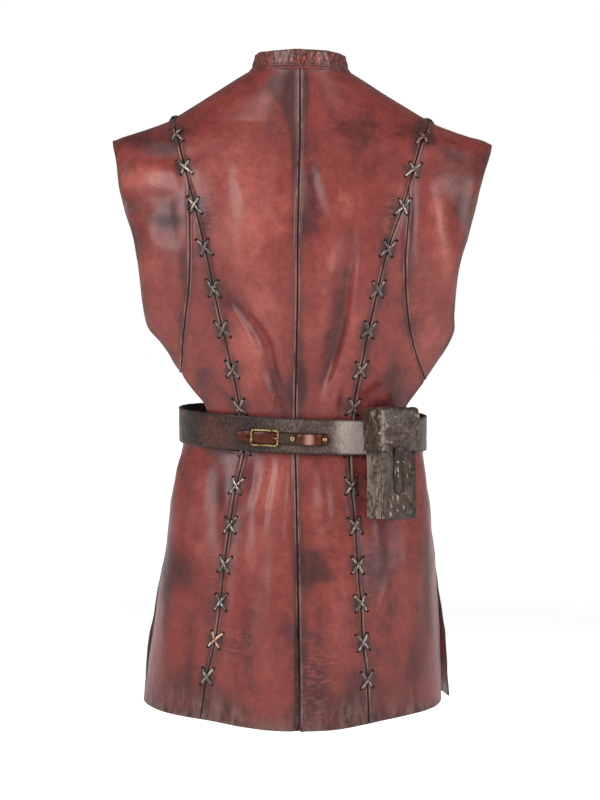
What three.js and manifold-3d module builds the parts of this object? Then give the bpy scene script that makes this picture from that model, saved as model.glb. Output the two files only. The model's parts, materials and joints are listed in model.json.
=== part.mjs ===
// A hip-length leather vest with laced seams, with its belt and the pouch on the belt.
// Units are millimetres. +Z is up, -Y is the wearer's back and +X the wearer's right.
// The origin is at the base of the neck, between the shoulders that carry the vest.
//
// Every leather piece is cut from one body surface. A place on it is a turn, the angle
// from the centre back round to the centre front (positive to the wearer's right), and
// a drop, the height below the base of the neck.

import * as THREE from 'three';
import { mergeVertices } from 'three/addons/utils/BufferGeometryUtils.js';
import Module from 'manifold-3d';

// ---------------------------------------------------------------- driving sizes

const LEATHER = 2;             // thickness of the vest's leather
const SEAM_GAP = 0.3;          // clearance between neighbouring pieces
const SHOULDER_DROP = 62;      // where the laced seams cross the shoulder ridge
const TIP_DROP = 93;           // the outer tips of the caps
const CAP_SPLIT = 150;         // where the cap seam leaves the laced seam
const CAP_END = { left: 392, right: 402 };  // where it runs out on the armhole
const WAIST_DROP = 491;        // the waist seam at the laced seam
const WAIST_SIDE_RISE = 16;    // how much higher the skirt's top edge is at the side
const ARMHOLE_FOOT = 471;      // bottom of the armholes, under the belt
const SLIT_DROP = 622;         // top of the side slits
const HEM_DROP = 847;          // the hem at the centre back
const HEM_SIDE_RISE = 11;      // how much higher the hem is towards the sides
const SHOULDER_LEAN = 0.012;   // the wearer's right shoulder is this much lower per millimetre
const NECK_HALF_WIDTH = 65;
const NECK_FRONT_DROP = 62;
const COLLAR_BACK = 25.5;      // height of the collar at the back and at its front ends
const COLLAR_FRONT = 17;
const FRONT_OPENING = 5;       // gap between the fronts above the belt
const FRONT_SPREAD = 26;       // the same gap at the hem

const BELT_DROP = 470;         // middle of the belt at the centre back
const BELT_WIDTH = 46;
const BELT_THICKNESS = 3.2;
const BELT_TILT = 0.036;       // the pouch pulls the belt down on the wearer's right

const BELT_SECTION = { halfWidth: 165.5, back: 105.5, front: 109.5, flat: 2.2, sway: 4 };

const STRAP = { width: 16, thickness: 1.5, line: -3.5 };  // line: below the belt's middle
const BUCKLE = { left: -61, right: -27, height: 22, wire: 1.2, out: 4.7 };
const BUCKLE_MIDDLE = (BUCKLE.left + BUCKLE.right) / 2;
const BUCKLE_BAR = { radius: 0.9, out: 2.2 };  // the middle bar, under the strap
const STRAP_HOLES = { prong: -34.8, spacing: 14, radius: 1.6, prongRadius: 3 };
const RIVET = { radius: 3.2, height: 1.4, inner: -9.5, outer: 31.5 };

const POUCH_X = 107;           // where the middle of the pouch meets the belt
const POUCH_WIDTH = 50;
const POUCH_DEPTH = 42;
const POUCH_WALL = 2.2;
const POUCH_TOP = 16;          // above the belt's top edge
const POUCH_BOTTOM = -127;
const LID_HEIGHT = 56;
const POUCH_TILT = 0.1;        // the skirt pushes the foot of the pouch out
const POUCH_SWING = 0.045;     // and it swings a little to the wearer's left
const LID_PLAY = 2.6;          // the lid stands this far off the body's front and sides
const LID_OUT = POUCH_DEPTH + LID_PLAY + POUCH_WALL;
const TONGUE = { middle: -1, width: 15, thickness: 1.8, top: -35, bottom: -95 };
const TONGUE_FACE = POUCH_DEPTH + SEAM_GAP + TONGUE.thickness + SEAM_GAP;
const STUD = { left: -4, spacing: 8, height: -54, out: 1.9 };

const THONG_WIDTH = 3.2;
const THONG_THICKNESS = 1.3;
const CROSS_HALF_WIDTH = 7.5;
const CROSS_HALF_HEIGHT = 10.5;
const CROSS_LIFT = 0.35;       // the lower arm's clearance, and how much higher the other lies
const UPPER_ARM_LIFT = 0.15;

const UP = new THREE.Vector3(0, 0, 1);
const RIGHT_ANGLE = Math.PI / 2;

// ---------------------------------------------------------------- tables

function table(columns, rows) {
  return rows.map((row) => Object.fromEntries(columns.map((name, i) => [name, row[i]])));
}

// Level sections through the body. Each half is |x|^flat over the half width, rounded
// to the power round. The fronts stand out past the backs at the slits by the flares.
const SECTIONS = table(
  ['drop', 'halfWidth', 'back', 'front', 'flat', 'round', 'sway', 'flareLeft', 'flareRight'],
  [
    [0, 65, 68, 58, 2.0, 0.5, 0, 0, 0],
    [14, 88, 70, 60, 1.9, 0.53, 0, 0, 0],
    [28, 110, 73, 63, 1.8, 0.55, 0, 0, 0],
    [45, 138, 76, 69, 1.8, 0.55, 1, 0, 0],
    [62, 167, 80, 75, 1.8, 0.55, 2, 0, 0],
    [78, 205, 84, 82, 1.9, 0.54, 3, 0, 0],
    [93, 250, 88, 88, 2.0, 0.53, 3, 0, 0],
    [115, 257, 95, 96, 2.2, 0.52, 3, 0, 0],
    [145, 261, 106, 106, 2.4, 0.5, 2, 0, 0],
    [180, 261, 116, 115, 2.4, 0.5, 1, 0, 0],
    [220, 258, 122, 121, 2.35, 0.5, 0, 0, 0],
    [260, 251, 122, 122, 2.3, 0.5, 0, 0, 0],
    [300, 240, 118, 120, 2.3, 0.5, 0, 0, 0],
    [345, 218, 111, 115, 2.25, 0.5, 1, 0, 0],
    [395, 190, 104, 109, 2.2, 0.5, 2, 0, 0],
    [440, 164, 98, 104, 2.2, 0.5, 4, 0, 0],
    [470, 158, 96, 101, 2.2, 0.5, 4, 0, 0],
    [495, 160, 98, 102, 2.3, 0.5, 3, 0, 0],
    [530, 167, 107, 105, 2.4, 0.5, 1, 0, 0],
    [570, 173, 116, 109, 2.4, 0.5, 0, 0, 0],
    [622, 179, 126, 113, 2.4, 0.5, 0, 0, 0],
    [690, 186, 134, 117, 2.4, 0.5, -3, 4, 7],
    [760, 194, 137, 120, 2.4, 0.5, -6, 5, 11],
    [847, 201, 141, 124, 2.4, 0.5, -10, 1, 13],
  ],
);

// The centre back seam and the two laced seams, by their distance from the middle.
const LONG_SEAMS = table(
  ['drop', 'centre', 'left', 'right'],
  [
    [0, 0, -167, 167],
    [62, 0, -165, 169],
    [86, 0, -158, 158],
    [128, -1, -147, 145],
    [176, -2, -134, 131],
    [229, -3, -121, 112],
    [281, -3, -110, 99],
    [333, -4, -99, 88],
    [385, -5, -87, 78],
    [434, -6, -78, 69],
    [488, -6, -72, 64],
    [535, -5, -82, 66],
    [585, -4, -90, 71],
    [635, -3, -97, 74],
    [683, -2, -102, 78],
    [732, -1, -108, 80],
    [782, 0, -119, 86],
    [847, 0, -129, 89],
  ],
);

// The sewn seam between the side back and the cap, which ends on the armhole.
const CAP_SEAM = table(
  ['drop', 'left', 'right'],
  [
    [150, -142, 139],
    [175, -141, 139],
    [205, -140, 137],
    [245, -140, 134],
    [282, -142, 135],
    [320, -147, 139],
    [350, -151, 145],
    [375, -153, 153],
    [400, -155, 163],
  ],
);

// The armhole edge below the cap's tip.
const ARMHOLE = table(
  ['drop', 'left', 'right'],
  [
    [93, -247, 253],
    [120, -240, 244],
    [152, -235, 233],
    [182, -227, 226],
    [214, -216, 217],
    [247, -210, 207],
    [282, -206, 202],
    [320, -202, 200],
    [337, -196, 201],
    [357, -177, 193],
    [384, -161, 176],
    [400, -150, 165],
    [420, -136, 151],
    [440, -122, 138],
    [465, -121, 132],
    [495, -132, 136],
  ],
);

// The largest drag folds. Each runs down the surface through three places and is an
// inward trough where depth is negative.
const FOLDS = table(
  ['face', 'topDrop', 'topX', 'midDrop', 'midX', 'endDrop', 'endX', 'width', 'depth'],
  [
    ['back', 245, -86, 345, -52, 450, -24, 15, -4],
    ['back', 195, 62, 330, 50, 440, 18, 15, -4],
    ['back', 500, -52, 600, -56, 730, -66, 20, -3],
    ['back', 505, 30, 600, 34, 720, 40, 18, -3],
    ['back', 520, 120, 640, 132, 800, 140, 18, -3],
    ['back', 520, -128, 640, -142, 790, -150, 18, -3],
    ['front', 255, -80, 350, -55, 450, -30, 16, -4],
    ['front', 235, 78, 345, 50, 445, 26, 16, -4],
    ['front', 505, -70, 640, -84, 800, -96, 22, -4],
    ['front', 505, 66, 640, 80, 800, 92, 22, -4],
  ],
);

// Heights of the crosses on each laced seam.
const CROSS_DROPS = [62, 86, 128, 176, 229, 281, 333, 385, 434, 486, 535, 585, 635, 684, 736, 788];

// The rows of the vest's panels.
const ROWS = [
  0, 14, 28, 38, 45, 52, 57, 62, 74, 86, 98, 112, 128, 150, 165, 182, 200, 220, 242, 264, 286, 308,
  330, 346, 362, 378, 396, 414, 434, 452, 470, 491, 506, 522, 542, 566, 594, 622, 652, 684, 718,
  752, 785, 816, 847,
];

// A smooth curve through one column of a table, without overshoot between its rows.
function curve(rows, column) {
  const x = rows.map((row) => row.drop);
  const y = rows.map((row) => row[column]);
  const last = x.length - 1;
  const rise = x.slice(1).map((end, i) => (y[i + 1] - y[i]) / (end - x[i]));
  const slope = x.map((_, i) => {
    if (i === 0) return rise[0];
    if (i === last) return rise[last - 1];
    if (rise[i - 1] * rise[i] <= 0) return 0;
    return (2 * rise[i - 1] * rise[i]) / (rise[i - 1] + rise[i]);
  });
  return (drop) => {
    const at = Math.min(Math.max(drop, x[0]), x[last]);
    let i = 0;
    while (i < last - 1 && at > x[i + 1]) i += 1;
    const span = x[i + 1] - x[i];
    const t = (at - x[i]) / span;
    const u = 1 - t;
    const ends = y[i] * (1 + 2 * t) * u * u + y[i + 1] * (3 - 2 * t) * t * t;
    return ends + (slope[i] * t * u * u - slope[i + 1] * t * t * u) * span;
  };
}

const section = Object.fromEntries(
  Object.keys(SECTIONS[0]).map((column) => [column, curve(SECTIONS, column)]),
);
const centreSeam = curve(LONG_SEAMS, 'centre');
const laceSeam = { left: curve(LONG_SEAMS, 'left'), right: curve(LONG_SEAMS, 'right') };
const capSeam = { left: curve(CAP_SEAM, 'left'), right: curve(CAP_SEAM, 'right') };
const armhole = { left: curve(ARMHOLE, 'left'), right: curve(ARMHOLE, 'right') };
const SIGN = { left: -1, right: 1 };

// ---------------------------------------------------------------- the body surface

function smooth(from, to, value) {
  const t = Math.min(Math.max((value - from) / (to - from), 0), 1);
  return t * t * (3 - 2 * t);
}

function foldDepth(face, x, drop) {
  let depth = 0;
  for (const fold of FOLDS) {
    if (fold.face !== face || drop < fold.topDrop || drop > fold.endDrop) continue;
    const t = (drop - fold.topDrop) / (fold.endDrop - fold.topDrop);
    const middle = (fold.midDrop - fold.topDrop) / (fold.endDrop - fold.topDrop);
    const bend = (fold.midX - fold.topX - (fold.endX - fold.topX) * middle) / (middle * (1 - middle));
    const line = fold.topX + (fold.endX - fold.topX) * t + bend * t * (1 - t);
    const taper = smooth(0, 0.25, t) * smooth(1, 0.75, t);
    depth += fold.depth * taper * Math.exp(-(((x - line) / fold.width) ** 2));
  }
  return depth;
}

function bodyPoint(turn, drop) {
  const face = Math.cos(turn) >= 0 ? 'back' : 'front';
  const across = Math.min(Math.abs(Math.sin(turn)), 1);
  const side = Math.sign(Math.sin(turn));
  const flare = side < 0 ? section.flareLeft(drop) : section.flareRight(drop);
  const past = smooth(1.5, 1.65, Math.abs(turn));
  const x = section.sway(drop) + side * (across * section.halfWidth(drop) + flare * past * across ** 4);
  const bow = (1 - across ** section.flat(drop)) ** section.round(drop);
  const depth = bow * (section[face](drop) + foldDepth(face, x, drop));
  const lean = SHOULDER_LEAN * x * smooth(BELT_DROP, 0, drop);
  const hemRise = HEM_SIDE_RISE * smooth(20, 140, Math.abs(x)) * smooth(650, HEM_DROP, drop);
  return new THREE.Vector3(x, face === 'back' ? -depth : depth, hemRise - drop - lean);
}

function bodyNormal(turn, drop) {
  const round = bodyPoint(turn + 0.025, drop).sub(bodyPoint(turn - 0.025, drop));
  const down = bodyPoint(turn, drop + 1.5).sub(bodyPoint(turn, Math.max(drop - 1.5, 0)));
  return round.cross(down).normalize().negate();
}

// The turn at which the surface is x from the middle, on the back or the front.
function turnAt(x, drop, face = 'back') {
  const across = (x - section.sway(drop)) / section.halfWidth(drop);
  const turn = Math.asin(Math.min(Math.max(across, -1), 1));
  return face === 'back' ? turn : Math.sign(x) * Math.PI - turn;
}

function surface(place, out = 0) {
  const point = bodyPoint(place.turn, place.drop);
  return point.addScaledVector(bodyNormal(place.turn, place.drop), out);
}

// ---------------------------------------------------------------- closed meshes

function closedGeometry(points, triangles) {
  let volume = 0;
  for (let i = 0; i < triangles.length; i += 3) {
    const [a, b, c] = triangles.slice(i, i + 3).map((index) => points[index]);
    volume += a.dot(b.clone().cross(c));
  }
  const outward = volume >= 0 ? triangles : triangles.slice().reverse();
  const geometry = new THREE.BufferGeometry().setFromPoints(points);
  geometry.setIndex(outward);
  return geometry;
}

// Loops of points joined one to the next. A run has flat ends, a ring closes on itself.
function loftGeometry(loops, closed = false) {
  const count = loops[0].length;
  const triangles = [];
  const spans = closed ? loops.length : loops.length - 1;
  for (let i = 0; i < spans; i += 1) {
    const here = i * count;
    const next = ((i + 1) % loops.length) * count;
    for (let j = 0; j < count; j += 1) {
      const k = (j + 1) % count;
      triangles.push(here + j, here + k, next + k, here + j, next + k, next + j);
    }
  }
  if (!closed) {
    const last = (loops.length - 1) * count;
    for (const [a, b, c] of capTriangles(loops[0])) {
      triangles.push(c, b, a, last + a, last + b, last + c);
    }
  }
  return closedGeometry(loops.flat(), triangles);
}

function capTriangles(loop) {
  const middle = loop.reduce((sum, point) => sum.add(point), new THREE.Vector3());
  middle.divideScalar(loop.length);
  const normal = new THREE.Vector3();
  loop.forEach((point, i) => {
    const next = loop[(i + 1) % loop.length];
    normal.add(point.clone().sub(middle).cross(next.clone().sub(middle)));
  });
  const across = loop[1].clone().sub(loop[0]).normalize();
  const along = normal.normalize().cross(across);
  const flat = loop.map((point) => new THREE.Vector2(point.dot(across), point.dot(along)));
  return THREE.ShapeUtils.triangulateShape(flat, []);
}

// A wall between an outer grid of points and the same grid moved in along its normals.
function wallGeometry(outer, inner) {
  const rows = outer.length;
  const columns = outer[0].length;
  const half = rows * columns;
  const id = (i, j) => i * columns + j;
  const triangles = [];
  const quad = (a, b, c, d) => triangles.push(a, b, c, a, c, d);
  for (let i = 0; i < rows - 1; i += 1) {
    for (let j = 0; j < columns - 1; j += 1) {
      quad(id(i, j), id(i, j + 1), id(i + 1, j + 1), id(i + 1, j));
      quad(half + id(i, j), half + id(i + 1, j), half + id(i + 1, j + 1), half + id(i, j + 1));
    }
  }
  for (let j = 0; j < columns - 1; j += 1) {
    quad(id(0, j), half + id(0, j), half + id(0, j + 1), id(0, j + 1));
    quad(id(rows - 1, j), id(rows - 1, j + 1), half + id(rows - 1, j + 1), half + id(rows - 1, j));
  }
  for (let i = 0; i < rows - 1; i += 1) {
    quad(id(i, 0), id(i + 1, 0), half + id(i + 1, 0), half + id(i, 0));
    const j = columns - 1;
    quad(id(i, j), half + id(i, j), half + id(i + 1, j), id(i + 1, j));
  }
  return closedGeometry([...outer.flat(), ...inner.flat()], triangles);
}

const manifold = await Module();
manifold.setup();

function solid(geometry) {
  const bare = geometry.clone();
  bare.deleteAttribute('normal');
  bare.deleteAttribute('uv');
  const merged = mergeVertices(bare, 1e-4);
  return new manifold.Manifold(new manifold.Mesh({
    numProp: 3,
    vertProperties: new Float32Array(merged.attributes.position.array),
    triVerts: new Uint32Array(merged.index.array),
  }));
}

function geometryOf(body) {
  const mesh = body.getMesh();
  const geometry = new THREE.BufferGeometry();
  geometry.setAttribute('position', new THREE.BufferAttribute(new Float32Array(mesh.vertProperties), 3));
  geometry.setIndex(Array.from(mesh.triVerts));
  return geometry;
}

// ---------------------------------------------------------------- materials

function material(colour, roughness, metalness = 0) {
  return new THREE.MeshStandardMaterial({ color: colour, roughness, metalness });
}

const garmentLeather = () => material(0x8c4a44, 0.5);
const thongLeather = () => material(0x4a352c, 0.4);
const beltLeather = () => material(0x584038, 0.55);
const conkerLeather = () => material(0x7a3c28, 0.35);
const pouchLeather = () => material(0x4c4136, 0.5);
const brass = () => material(0xb89a5c, 0.35, 1);

const vest = new THREE.Group();

function add(name, geometry, finish, parent = vest) {
  const mesh = new THREE.Mesh(geometry, finish);
  mesh.name = name;
  parent.add(mesh);
  return mesh;
}

// ---------------------------------------------------------------- vest panels

// Each row of a panel is a straight run between two places on the body surface. The
// panel stops half a seam gap short of its two side edges.
function panelGeometry(rows, columns) {
  const outer = [];
  const inner = [];
  for (const { from, to } of rows) {
    const width = surface(from).distanceTo(surface(to));
    const inset = SEAM_GAP / 2 / width;
    const outerRow = [];
    const innerRow = [];
    for (let j = 0; j <= columns; j += 1) {
      const t = inset + (1 - 2 * inset) * (j / columns);
      const place = {
        turn: from.turn + (to.turn - from.turn) * t,
        drop: from.drop + (to.drop - from.drop) * t,
      };
      outerRow.push(surface(place));
      innerRow.push(surface(place, -LEATHER));
    }
    outer.push(outerRow);
    inner.push(innerRow);
  }
  return wallGeometry(outer, inner);
}

function levelRows(drops, from, to) {
  return drops.map((drop) => ({
    from: { turn: from(drop), drop },
    to: { turn: to(drop), drop },
  }));
}

// The heights of a panel's rows, with one where the side's cap ends.
function rowsBetween(top, bottom, side) {
  const drops = side ? [...ROWS, CAP_END[side]].sort((a, b) => a - b) : ROWS;
  return drops.filter((drop) => drop >= top && drop <= bottom);
}

function laceTurn(side, drop) {
  return drop <= SHOULDER_DROP ? SIGN[side] * RIGHT_ANGLE : turnAt(laceSeam[side](drop), drop);
}

// The seam along the cap's inner edge: the lace at the top, the cap seam below.
function capInnerTurn(side, drop) {
  return drop <= CAP_SPLIT ? laceTurn(side, drop) : turnAt(capSeam[side](drop), drop);
}

function armholeTurn(side, drop) {
  return drop <= TIP_DROP ? SIGN[side] * RIGHT_ANGLE : turnAt(armhole[side](drop), drop);
}

function waistDrop(side, turn) {
  const start = laceTurn(side, WAIST_DROP);
  return WAIST_DROP - WAIST_SIDE_RISE * ((turn - start) / (SIGN[side] * RIGHT_ANGLE - start));
}

function mirrored(place) {
  return { turn: Math.sign(place.turn) * Math.PI - place.turn, drop: place.drop };
}

function backCentre(side) {
  const centre = (drop) => turnAt(centreSeam(drop), drop);
  const rows = levelRows(rowsBetween(0, HEM_DROP), centre, (drop) => laceTurn(side, drop));
  add(`back_centre_${side}`, panelGeometry(rows, 6), garmentLeather());
}

function backSide(side) {
  const outside = (drop) => {
    return drop <= CAP_END[side] ? capInnerTurn(side, drop) : armholeTurn(side, drop);
  };
  const drops = rowsBetween(CAP_SPLIT + 1, WAIST_DROP - 1, side);
  const rows = levelRows(drops, (drop) => laceTurn(side, drop), outside);
  const corner = armholeTurn(side, WAIST_DROP);
  rows.push({
    from: { turn: laceTurn(side, WAIST_DROP), drop: WAIST_DROP - SEAM_GAP / 2 },
    to: { turn: corner, drop: waistDrop(side, corner) - SEAM_GAP / 2 },
  });
  add(`back_side_${side}`, panelGeometry(rows, 3), garmentLeather());
}

// The edges of the side slit draw apart towards the hem.
function slitTurn(side, drop, face) {
  const spread = smooth(SLIT_DROP, HEM_DROP, drop);
  const degrees = face === 'back' ? 90 - 6 * spread : 90 + 3 * spread;
  return SIGN[side] * THREE.MathUtils.degToRad(degrees);
}

function skirtSide(side) {
  const sideTurn = SIGN[side] * RIGHT_ANGLE;
  const top = {
    from: { turn: laceTurn(side, WAIST_DROP), drop: WAIST_DROP + SEAM_GAP / 2 },
    to: { turn: sideTurn, drop: waistDrop(side, sideTurn) + SEAM_GAP / 2 },
  };
  const drops = rowsBetween(WAIST_DROP + 1, HEM_DROP);
  const lace = (drop) => laceTurn(side, drop);
  const rows = [top, ...levelRows(drops, lace, (drop) => slitTurn(side, drop, 'back'))];
  add(`skirt_side_${side}`, panelGeometry(rows, 6), garmentLeather());
}

// The cap runs from a point on the back armhole over the shoulder to the same on the front.
function cap(side) {
  const end = CAP_END[side];
  const half = rowsBetween(SHOULDER_DROP, end, side).map((drop) => {
    const share = (drop - SHOULDER_DROP) / (end - SHOULDER_DROP);
    const outerDrop = TIP_DROP + share * (end - TIP_DROP);
    return {
      from: { turn: capInnerTurn(side, drop), drop },
      to: { turn: armholeTurn(side, outerDrop), drop: outerDrop },
    };
  });
  const front = half.slice(1).map((row) => ({ from: mirrored(row.from), to: mirrored(row.to) }));
  add(`cap_${side}`, panelGeometry([...half.reverse(), ...front], 5), garmentLeather());
}

function openingHalf(drop) {
  return (FRONT_OPENING + (FRONT_SPREAD - FRONT_OPENING) * smooth(BELT_DROP, HEM_DROP, drop)) / 2;
}

function front(side) {
  const inside = (drop) => {
    const neck = NECK_HALF_WIDTH * Math.sqrt(Math.max(1 - (drop / NECK_FRONT_DROP) ** 2, 0));
    return turnAt(SIGN[side] * Math.max(neck, openingHalf(drop)), drop, 'front');
  };
  const outside = (drop) => {
    if (drop <= CAP_END[side]) return mirrored({ turn: capInnerTurn(side, drop) }).turn;
    if (drop <= ARMHOLE_FOOT) return mirrored({ turn: armholeTurn(side, drop) }).turn;
    return slitTurn(side, drop, 'front');
  };
  const drops = [
    2, ...rowsBetween(14, ARMHOLE_FOOT, side), ARMHOLE_FOOT + 5, ...rowsBetween(WAIST_DROP, HEM_DROP),
  ];
  add(`front_${side}`, panelGeometry(levelRows(drops, inside, outside), 6), garmentLeather());
}

// ---------------------------------------------------------------- collar

// The neck seam runs level round the back and dips to the front. way is 0 at the centre
// back, 1 at the shoulders and 2 at the front edges.
function neckPlace(way) {
  const sign = Math.sign(way);
  const far = Math.abs(way);
  if (far <= 1) return { turn: sign * far * RIGHT_ANGLE, drop: 0 };
  const angle = (far - 1) * RIGHT_ANGLE;
  const drop = NECK_FRONT_DROP * Math.sin(angle);
  const x = Math.max(NECK_HALF_WIDTH * Math.cos(angle), openingHalf(0) + 1);
  return { turn: turnAt(sign * x, drop, 'front'), drop };
}

function collar() {
  const stations = 36;
  const outer = [];
  const inner = [];
  const seam = (way) => surface(neckPlace(way));
  for (let i = 0; i <= stations; i += 1) {
    const way = -1.98 + (3.96 * i) / stations;
    const foot = seam(way);
    const outward = new THREE.Vector3(foot.x, foot.y, 0).normalize();
    const share = Math.abs(way) / 2;
    const lean = 0.12 + 0.4 * smooth(0.1, 1, share);
    const rise = UP.clone().addScaledVector(outward, -lean).normalize();
    const along = seam(way + 0.02).sub(seam(way - 0.02)).normalize();
    const normal = along.clone().cross(rise).normalize();
    if (normal.dot(outward) < 0) normal.negate();
    const height = COLLAR_BACK + (COLLAR_FRONT - COLLAR_BACK) * share;
    const lift = SEAM_GAP + 2 * smooth(0.75, 1.15, Math.abs(way));
    const column = [lift, height / 2, height].map((up) => foot.clone().addScaledVector(rise, up));
    outer.push(column);
    inner.push(column.map((point) => point.clone().addScaledVector(normal, -LEATHER)));
  }
  add('collar', wallGeometry(outer, inner), garmentLeather());
}

// ---------------------------------------------------------------- crossed thongs

// A flat thong over the surface between two places, low above the leather.
function stripGeometry(from, to, low, steps) {
  const high = low + THONG_THICKNESS;
  const places = Array.from({ length: steps + 1 }, (_, i) => ({
    turn: from.turn + ((to.turn - from.turn) * i) / steps,
    drop: from.drop + ((to.drop - from.drop) * i) / steps,
  }));
  const points = places.map((place) => surface(place));
  const loops = places.map((place, i) => {
    const along = points[Math.min(i + 1, steps)].clone().sub(points[Math.max(i - 1, 0)]);
    const normal = bodyNormal(place.turn, place.drop);
    const across = normal.clone().cross(along).normalize().multiplyScalar(THONG_WIDTH / 2);
    const at = (side, out) => points[i].clone().addScaledVector(across, side).addScaledVector(normal, out);
    return [at(-1, low), at(1, low), at(1, high), at(-1, high)];
  });
  return loftGeometry(loops);
}

// The four ends of a cross. On the ridge its arms reach to the back and to the front.
function crossCorners(side, drop) {
  if (drop === SHOULDER_DROP) {
    const slant = CROSS_HALF_WIDTH * 0.43;
    const reach = THREE.MathUtils.degToRad(5);
    const corner = (turnSign, dropSign) => ({
      turn: SIGN[side] * (RIGHT_ANGLE + turnSign * reach),
      drop: drop + 0.5 + dropSign * slant,
    });
    return [corner(-1, -1), corner(-1, 1), corner(1, -1), corner(1, 1)];
  }
  const seamPoint = (at) => surface({ turn: laceTurn(side, at), drop: at });
  const stretch = seamPoint(drop + 3).distanceTo(seamPoint(drop - 3)) / 6;
  const corner = (acrossSign, downSign) => {
    const at = drop + (downSign * CROSS_HALF_HEIGHT) / stretch;
    return { turn: turnAt(laceSeam[side](at) + acrossSign * CROSS_HALF_WIDTH, at), drop: at };
  };
  return [corner(-1, -1), corner(1, -1), corner(-1, 1), corner(1, 1)];
}

function cross(side, drop, number) {
  const [a, b, c, d] = crossCorners(side, drop);
  const steps = drop < 100 ? 4 : 2;
  const one = stripGeometry(a, d, CROSS_LIFT, steps);
  const two = stripGeometry(b, c, CROSS_LIFT + UPPER_ARM_LIFT, steps);
  const joined = geometryOf(solid(one).add(solid(two)));
  add(`lace_${side}_${String(number).padStart(2, '0')}`, joined, thongLeather());
}

// ---------------------------------------------------------------- belt

// A point on the belt: turn as on the body, up from its middle line, out from its face.
function beltPoint(turn, up = 0, out = 0) {
  const face = (angle) => {
    const across = Math.min(Math.abs(Math.sin(angle)), 1);
    const depth = Math.cos(angle) >= 0 ? -BELT_SECTION.back : BELT_SECTION.front;
    const bow = Math.sqrt(1 - across ** BELT_SECTION.flat);
    const x = BELT_SECTION.sway + Math.sin(angle) * BELT_SECTION.halfWidth;
    return new THREE.Vector3(x, depth * bow, 0);
  };
  const along = face(turn + 0.01).sub(face(turn - 0.01));
  const normal = along.cross(UP).normalize();
  const point = face(turn).addScaledVector(normal, out);
  point.z = up - BELT_DROP - BELT_TILT * point.x;
  return point;
}

// A point by the strap: x across the back, up from the strap's middle line.
function onBelt(x, up, out) {
  return beltPoint(Math.asin((x - BELT_SECTION.sway) / BELT_SECTION.halfWidth), up + STRAP.line, out);
}

function belt() {
  const stations = 80;
  const half = BELT_WIDTH / 2;
  const loops = Array.from({ length: stations }, (_, i) => {
    const turn = (i / stations) * 2 * Math.PI;
    return [[-half, 0], [half, 0], [half, -BELT_THICKNESS], [-half, -BELT_THICKNESS]]
      .map(([up, out]) => beltPoint(turn, up, out));
  });
  add('belt', loftGeometry(loops, true), beltLeather());
}

// ---------------------------------------------------------------- strap and buckle on the belt

// How far the underside of the strap stands off the belt along its length.
const STRAP_RISE = table(
  ['x', 'out'],
  [
    [-83, 0.3], [-80, 0.3], [-74, 0.3], [-70, 1.8], [-64, 1.8], [-58, 1.8], [-50, 3.3], [-44, 3.6],
    [-38, 3.6], [-33, 2.8], [-29, 1.2], [-25, 0.4], [-15, 0.3], [0, 0.3], [15, 0.3], [30, 0.3],
    [35, 0.3], [38, 0.3],
  ],
);

// A strap along the belt. Its two ends are rounded.
function strapGeometry(places, width, thickness, rounded) {
  const start = places[0].x;
  const end = places[places.length - 1].x;
  const loops = places.map(({ x, out }) => {
    const fromEnd = Math.min(x - start, end - x) + 1.5;
    const narrow = rounded && fromEnd < width / 2 ? Math.sqrt(1 - (1 - fromEnd / (width / 2)) ** 2) : 1;
    const half = (width / 2) * narrow;
    return [[-half, out], [half, out], [half, out + thickness], [-half, out + thickness]]
      .map(([up, off]) => onBelt(x, up, off));
  });
  return loftGeometry(loops);
}

function peg(x, up, radius, low, high) {
  const foot = onBelt(x, up, low);
  const head = onBelt(x, up, high);
  const geometry = new THREE.CylinderGeometry(radius, radius, head.distanceTo(foot), 16);
  const turned = new THREE.Quaternion().setFromUnitVectors(
    new THREE.Vector3(0, 1, 0),
    head.clone().sub(foot).normalize(),
  );
  geometry.applyQuaternion(turned);
  const middle = foot.add(head).multiplyScalar(0.5);
  return geometry.translate(middle.x, middle.y, middle.z);
}

function buckleStrap() {
  let body = solid(strapGeometry(STRAP_RISE, STRAP.width, STRAP.thickness, true));
  const { prong, spacing, radius, prongRadius } = STRAP_HOLES;
  for (const [x, size] of [[prong - 2 * spacing, radius], [prong - spacing, radius], [prong, prongRadius]]) {
    body = body.subtract(solid(peg(x, 0, size, -2, 9)));
  }
  add('buckle_strap', geometryOf(body), conkerLeather());
}

function buckleBase() {
  const places = [-68, -62, -54, BUCKLE_MIDDLE - 2].map((x) => ({ x, out: 0.3 }));
  add('buckle_base', strapGeometry(places, STRAP.width - 2, 1.2, false), beltLeather());
}

// A ring of points round each place on a wire, in the plane across the wire.
function wireLoops(points, radius, closed, sides = 8) {
  const last = points.length - 1;
  return points.map((point, i) => {
    const before = closed ? points[(i + last) % (last + 1)] : points[Math.max(i - 1, 0)];
    const after = closed ? points[(i + 1) % (last + 1)] : points[Math.min(i + 1, last)];
    const along = after.clone().sub(before).normalize();
    const first = new THREE.Vector3(0.02, -1, 0.03).cross(along).normalize();
    const second = along.clone().cross(first);
    return Array.from({ length: sides }, (_, k) => {
      const angle = (k / sides) * 2 * Math.PI;
      return point.clone()
        .addScaledVector(first, radius * Math.cos(angle))
        .addScaledVector(second, radius * Math.sin(angle));
    });
  });
}

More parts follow.
